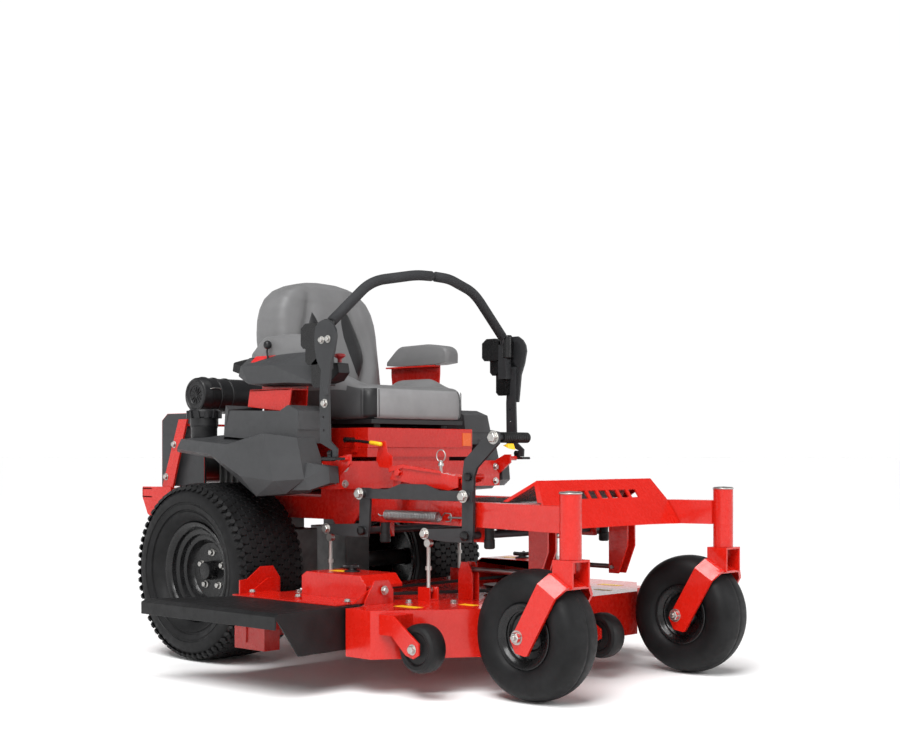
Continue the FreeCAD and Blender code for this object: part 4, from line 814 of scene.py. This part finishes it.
# ---------------------------------------------------------------- levers ----
def control_lever(word, side):
    skin(f"lever_arm_{word}", CHARCOAL, 1.4)
    skin(f"lever_base_{word}", BLACK, 1.2)
    bm = bmesh.new()
    route = rounded([(552, side * 424, 1138), (565, side * 255, 1286), (606, side * 80, 1318),
                     (606, side * 6, 1320)], 55, 8)
    sweep(bm, route, 17.5, 28, 5)
    piece(f"lever_grip_{word}_foam", bm, f"lever_{word}", FOAM,
          (f"lever_grip_{word}",), smooth=60)
    plate = [(531, 1120), (545, 1135), (566, 1142), (590, 1142), (612, 1128), (626, 1108),
             (630, 1085), (620, 1040), (604, 1000), (596, 930), (592, 900), (576, 900),
             (566, 930), (556, 985), (538, 1010), (528, 1050), (526, 1090)]
    bm = bmesh.new()
    slab(bm, plate, sorted((side * 473, side * 464)))
    piece(f"lever_head_{word}", bm, f"lever_{word}", CHARCOAL, bevel=0.8,
          smooth=60)
    bm = bmesh.new()
    for x0, x1, z0, z1, y0, y1 in ((448, 530, 1054, 1136, 426, 463),
                                   (470, 534, 1000, 1080, 446, 462),
                                   (500, 560, 925, 1020, 446, 462)):
        hull(bm, [(x, side * y, z) for x, z in ((x0, z0 + 12), (x0 + 12, z0), (x1 - 8, z0),
                                                (x1, z0 + 8), (x1, z1 - 10), (x1 - 16, z1),
                                                (x0 + 22, z1), (x0, z1 - 16)) for y in (y0, y1)])
    piece(f"lever_damper_{word}", bm, f"lever_{word}", BLACK)
    bm = bmesh.new()
    lathe(bm, [(14, 1060), (19, 1064), (19, 1140), (14, 1146)], (560, side * 442, 0), (0, 0, 1),
          32, False)
    piece(f"lever_cup_{word}", bm, f"lever_{word}", BLACK)
    bm = bmesh.new()
    outer = side * 473.2
    for x, z in ((562, 1077), (592, 1079)):
        hexagon(bm, (x, outer, z), (0, side, 0), 19, 8)
    hexagon(bm, (566, side * 464, 873), (0, side, 0), 22, 9)
    piece(f"lever_bolts_{word}", bm, f"lever_{word}", ZINC, bevel=0.6)


# ------------------------------------------------------------------ lift ----
def lift_parts():
    for node, width in (("lift_shaft_front", 1.4), ("lift_shaft_rear", 1.4), ("lift_link", 1.6)):
        skin(node, CHARCOAL, width)
    outer = -336
    for body, x in (("lift_front", 1071), ("lift_rear", 613)):
        bm = bmesh.new()
        lathe(bm, [(15, 0), (15, 9), (12, 11)], (x, -343, 460), (0, -1, 0), 24, False)
        if body == "lift_front":
            lathe(bm, [(13, 0), (13, 10), (10, 12)], (1079, outer, 640), (0, -1, 0), 24, False)
        piece(f"{body}_black_heads", bm, body, BLACK)
        bm = bmesh.new()
        hexagon(bm, (x - 180, outer, 460), (0, -1, 0), 28, 10)
        if body == "lift_front":
            hexagon(bm, (1179, outer, 760), (0, -1, 0), 32, 12)
        piece(f"{body}_bolts", bm, body, ZINC, bevel=0.7)
    bm = bmesh.new()
    for x in (1080, 622):
        hexagon(bm, (x, -364.4, 581), (0, -1, 0), 30, 11)
    piece("link_bolts", bm, "lift_link", ZINC, bevel=0.7)
    bm = bmesh.new()
    profile = []
    for k in range(14):
        start = -300 + k * 8.4
        profile += [(16.4, start), (16.4, start + 5.4), (14.6, start + 6.2), (14.6, start + 7.6)]
    profile = [(9.4, -300)] + profile + [(16.4, -181), (14, -179), (9.4, -179)]
    lathe(bm, profile, (1179, 0, 760), (0, 1, 0), 40)
    piece("pedal_grip_rubber", bm, "lift_front", RUBBER, ("pedal_grip",), smooth=30)
    bm = bmesh.new()
    hull(bm, [(1196, -290, 742), (1200, -290, 726), (1176, -290, 736), (1196, -262, 742),
              (1204, -262, 722), (1176, -262, 736)])
    piece("pedal_yellow_tab", bm, "lift_front", YELLOW, bevel=1.5)


def lift_spring():
    y, z = -307, 512
    coil, turns, per_turn = 15.2, 34, 14
    start, length = 690, 234
    bm = bmesh.new()
    helix = []
    for k in range(turns * per_turn + 1):
        angle = 2 * math.pi * k / per_turn
        helix.append((start + length * k / (turns * per_turn), y + coil * math.cos(angle),
                      z + coil * math.sin(angle)))
    rear = [(652, y, z + 2), (660, y + 2, z - 4), (678, y + 8, z)]
    front = [(936, y + 8, z + 6), (952, y, z + 14), (975, y, z + 12), (982, y, z),
             (975, y, z - 12), (956, y, z - 13)]
    sweep(bm, rear + helix + front, 2.2, 8)
    sweep(bm, [(968, y, z), (1046, y, z)], 3.6, 12)
    lathe(bm, [(7, 0), (7, 5)], (972, y, z), (1, 0, 0), 16, False)
    hexagon(bm, (1047, y, z), (1, 0, 0), 15, 8, washer=False)
    piece("lift_spring_coil", bm, "chassis", STEEL, ("lift_spring",), smooth=60)


def height_parts():
    skin("height_bracket", RED, 1.6)
    bm = bmesh.new()
    for k in range(12):
        x = 770 + 18 * k
        z = blend_between([(760, 672), (1000, 640)], x)
        brick(bm, (x, x + 3), (-294, -280 if k % 3 else -272), (z - 0.5, z + 0.8))
    piece("height_dial_marks", bm, "chassis", WHITE)
    bm = bmesh.new()
    lathe(bm, [(4.9, 620), (4.9, 690)], (904, -275, 0), (0, 0, 1), 20, False)
    lathe(bm, [(9, 672), (9, 680), (6, 684)], (904, -275, 0), (0, 0, 1), 24, False)
    ring = [(904 + 19 * math.sin(t * math.pi / 14), -275, 704 - 19 * math.cos(t * math.pi / 14))
            for t in range(29)]
    sweep(bm, ring, 1.8, 10)
    piece("height_pin_ring", bm, "height_pin", ZINC, ("height_pin",), smooth=60)
    bm = bmesh.new()
    slab(bm, [(624, 690), (640, 752), (668, 752), (676, 716), (700, 702), (700, 662), (640, 666)],
         (-290, -286))
    slab(bm, [(700, 668), (760, 676), (930, 656), (930, 648), (760, 664), (700, 650)],
         (-306, -300.2))
    piece("height_side_plate", bm, "chassis", RED, bevel=0.8)
    bm = bmesh.new()
    sweep(bm, [(1000, -275, 622), (1079, -275, 640)], 13, 24)
    sweep(bm, [(1079, -275, 640), (1079, -325, 640)], 9, 16)
    hexagon(bm, (740, -300, 650), (0, -1, 0), 26, 9)
    piece("height_stop_tube", bm, "chassis", RED, bevel=0.8)
    bm = bmesh.new()
    lathe(bm, [(9, -308), (9, -269.5)], (493, 0, 757), (0, 1, 0), 24, False)
    sweep(bm, [(493, -300, 757), (560, -300, 752), (612, -300, 746.8)], 5, 16)
    piece("brake_lever_rod", bm, "brake", BLACK, ("brake_lever",))
    bm = bmesh.new()
    sweep(bm, [(606, -300, 747.4), (636, -300, 744), (660, -300, 741)], 7, 20, 3)
    piece("brake_lever_tip", bm, "brake", YELLOW, smooth=60)


# ------------------------------------------------------------------ deck ----
def deck():
    skin("deck_shell", RED, 2.4)
    skin("deck_brackets", RED, 1.6)
    skin("belt_covers", RED, 2.0)
    skin("chute_plate", RED, 1.4)
    skin("chute_deflector", RUBBER, 1.5)
    skin("drag_links", STEEL, 0.8)
    skin("lift_rods", ZINC, 0.6)
    skin("deck_belt", RUBBER, 1.0)
    bm = bmesh.new()
    for side in (-1, 1):
        for x, y in ((905, 420), (860, 300), (1060, 200), (1010, 330), (400, 430), (400, 300)):
            hexagon(bm, (x, side * y, 250), (0, 0, 1), 20, 9)
        hexagon(bm, (1140, side * 643, 149), (0, side, 0), 24, 10)
    hexagon(bm, (1268, 43, 136), (0, -1, 0), 22, 9)
    for k in range(3):
        hexagon(bm, (945 + 40 * k, 120, 250), (0, 0, 1), 18, 8)
    piece("deck_bolts", bm, "deck", ZINC, bevel=0.6)
    bm = bmesh.new()
    for side in (-1, 1):
        for x, dx, y, dy in ((940, 90, 520, 36), (1050, 60, 350, 28)):
            brick(bm, (x, x + dx), sorted((side * y, side * (y - dy))), (250.1, 250.7))
        brick(bm, (560, 640), sorted((side * 440, side * 400)), (332.1, 332.7))
    piece("deck_labels", bm, "deck", YELLOW)
    bm = bmesh.new()
    for side in (-1, 1):
        lathe(bm, [(26, 0), (26, 4), (12, 8), (12, 22)], (650, side * 420, 332), (0, 0, 1), 24,
              False)
        for turn in range(3):
            angle = 2 * math.pi * turn / 3
            tip = (650 + 34 * math.cos(angle), side * 420 + 34 * math.sin(angle), 350)
            sweep(bm, [(650, side * 420, 346), tip], 7, 12, 3)
    piece("cover_knobs", bm, "deck", PLASTIC, bevel=1.0)
    bm = bmesh.new()
    for x in (395, 620, 845):
        hexagon(bm, (x, -622, 265), (0, 0, 1), 18, 7)
    for x, way in ((334, -1), (864, 1)):
        hexagon(bm, (x, -485, 291), (way, 0, 0), 22, 8)
    piece("chute_bolts", bm, "chute", ZINC, bevel=0.6)
    for word in ("right", "middle", "left"):
        low, high = size(f"anti_scalp_wheel_{word}")
        x, z = (low.x + high.x) / 2, (low.z + high.z) / 2
        y = 84 if word == "middle" else (-600 if word == "right" else 600)
        bm = bmesh.new()
        lathe(bm, half_round([(7, 31), (20, 31), (22, 26), (44, 24), (50, 30), (60, 31), (68, 26),
                              (71, 17), (72, 6), (72, 0)]), (x, y, z), (0, 1, 0), 64)
        reach = -44 if word != "left" else 44
        lathe(bm, [(5.9, 0), (5.9, reach)], (x, y, z), (0, 1, 0), 16, False)
        piece(f"anti_scalp_{word}_roller", bm, f"anti_scalp_wheel_{word}", RUBBER,
              (f"anti_scalp_wheel_{word}",), smooth=35)
        skin(f"blade_spindle_{word}", CAST, 0.8)


# ----------------------------------------------------------------- frame ----
def chassis():
    for node, width in (("frame_rails", 2.2), ("rear_frame", 1.4), ("front_panel", 1.6),
                        ("seat_box", 2.0)):
        skin(node, RED, width)
    skin("engine_guard", RED, 1.6)
    skin("floor_pan", BLACK, 0.8)
    skin("seat_base", PLASTIC, 1.5)
    skin("engine_block", CAST, 1.5)
    skin("engine_shroud", BLACK, 5.0)
    skin("muffler", STEEL, 1.5)
    skin("transaxles", CAST, 4.0)
    bm = bmesh.new()
    for word, side in SIDES:
        lathe(bm, [(31, 597), (33.5, 598), (33.5, 601), (30, 604), (2, 606)],
              (1518, side * 391.5, 0), (0, 0, 1), 48, False)
        for z in (612, 664):
            hexagon(bm, (563, side * 372, z), (1, 0, 0), 20, 8)
        for x, z in ((-402, 625), (-352, 745)):
            hexagon(bm, (x, side * 384, z), (0, side, 0), 20, 8)
        for x, z in ((520, 655), (470, 668), (540, 622)):
            hexagon(bm, (x, side * 394, z), (0, side, 0), 18, 7)
    piece("frame_bolts", bm, "chassis", ZINC, ("chassis_fasteners",), 0.7)
    bm = bmesh.new()
    for side in (-1, 1):
        for x in (665, 1120):
            lathe(bm, [(15, 486), (15, 450), (17, 448), (17, 424), (13, 420)],
                  (x, side * 287, 0), (0, 0, 1), 24, False)
    piece("rail_stops", bm, "chassis", RUBBER)
    bm = bmesh.new()
    brick(bm, (553.0, 555.0), (205, 250), (738, 784))
    piece("seat_box_reflector", bm, "chassis", ORANGE, bevel=0.5)
    bm = bmesh.new()
    for side in (-1, 1):
        slab(bm, [(-529, 587), (-352, 589), (-352, 560), (-470, 470), (-498, 486), (-529, 545)],
             sorted((side * 400, side * 394)))
    piece("guard_end_plates", bm, "chassis", RED, bevel=1.2)
    for word, side in SIDES:
        bm = bmesh.new()
        slab(bm, [(-464, 590), (-205, 590), (-205, 835), (-235, 860), (-430, 860), (-464, 835)],
             sorted((side * 348.6, side * 358.2)))
        piece(f"heat_shield_{word}", bm, "chassis", CHARCOAL, bevel=1.4)


# ----------------------------------------------------------------- stage ----
def lamp(name, place, target, width, power):
    data = bpy.data.lights.new(name, "AREA")
    data.shape = "DISK"
    data.size = width
    data.energy = power
    thing = bpy.data.objects.new(name, data)
    bpy.context.scene.collection.objects.link(thing)
    thing.location = place
    thing.rotation_mode = "QUATERNION"
    thing.rotation_quaternion = (Vector(target) - Vector(place)).to_track_quat("-Z", "Y")


def stage():
    floor = bpy.data.meshes.new("studio_floor")
    reach = 200
    floor.from_pydata([(-reach, -reach, 0), (reach, -reach, 0), (reach, reach, 0),
                       (-reach, reach, 0)], [], [(0, 1, 2, 3)])
    ground = bpy.data.objects.new("studio_floor", floor)
    bpy.context.scene.collection.objects.link(ground)
    floor.materials.append(surface("studio_paper", (0.93, 0.93, 0.93), 0.8, mottle=0.005))
    ground.location.z = -0.0005
    world = bpy.data.worlds.new("studio")
    bpy.context.scene.world = world
    world.use_nodes = True
    nodes, links = world.node_tree.nodes, world.node_tree.links
    direction = nodes.new("ShaderNodeTexCoord").outputs["Generated"]
    split = nodes.new("ShaderNodeSeparateXYZ")
    links.new(direction, split.inputs["Vector"])
    fall = nodes.new("ShaderNodeMapRange")
    fall.inputs["From Min"].default_value = 0.30
    fall.inputs["From Max"].default_value = 0.42
    fall.inputs["To Min"].default_value = 1.02
    fall.inputs["To Max"].default_value = 0.15
    links.new(split.outputs["Z"], fall.inputs["Value"])
    links.new(fall.outputs["Result"], nodes["Background"].inputs["Strength"])
    nodes["Background"].inputs["Color"].default_value = (1, 1, 1, 1)
    sun = bpy.data.lights.new("overhead", "SUN")
    sun.energy, sun.angle = 3.0, math.radians(36)
    overhead = bpy.data.objects.new("overhead", sun)
    bpy.context.scene.collection.objects.link(overhead)
    overhead.rotation_euler = (math.radians(24), math.radians(10), 0)
    lamp("key", (3.2, -4.6, 4.2), (0, 0, 0.5), 2.0, 170)
    lamp("fill", (5.5, 2.0, 2.6), (0, 0, 0.6), 2.4, 70)
    bpy.context.scene.view_settings.view_transform = "Standard"


EYE = (4083, -3618.5, 713)      # machine frame, mm
HEADING = 43.2                  # degrees from +Y, turned towards the rear
LENS, SENSOR = 58.4, 36
FRAME_SHIFT = 0.0928            # the horizon lies below the middle of the frame


def camera():
    data = bpy.data.cameras.new("camera")
    thing = bpy.data.objects.new("camera", data)
    bpy.context.scene.collection.objects.link(thing)
    data.lens, data.sensor_width = LENS, SENSOR
    heading = math.radians(HEADING)
    thing.location = at(*EYE)
    forward = Vector((-math.sin(heading), math.cos(heading), 0))
    thing.rotation_mode = "QUATERNION"
    thing.rotation_quaternion = forward.to_track_quat("-Z", "Y")
    data.shift_y = FRAME_SHIFT
    bpy.context.scene.camera = thing


def build():
    camera()
    stage()
    for word, side in SIDES:
        rear_wheel(word, side)
        caster_wheel(word)
        caster_fork(word)
        control_lever(word, side)
    seat_back()
    seat_cushion()
    armrests()
    fuel_tanks()
    control_console()
    air_cleaner()
    lift_parts()
    lift_spring()
    height_parts()
    deck()
    chassis()


build()
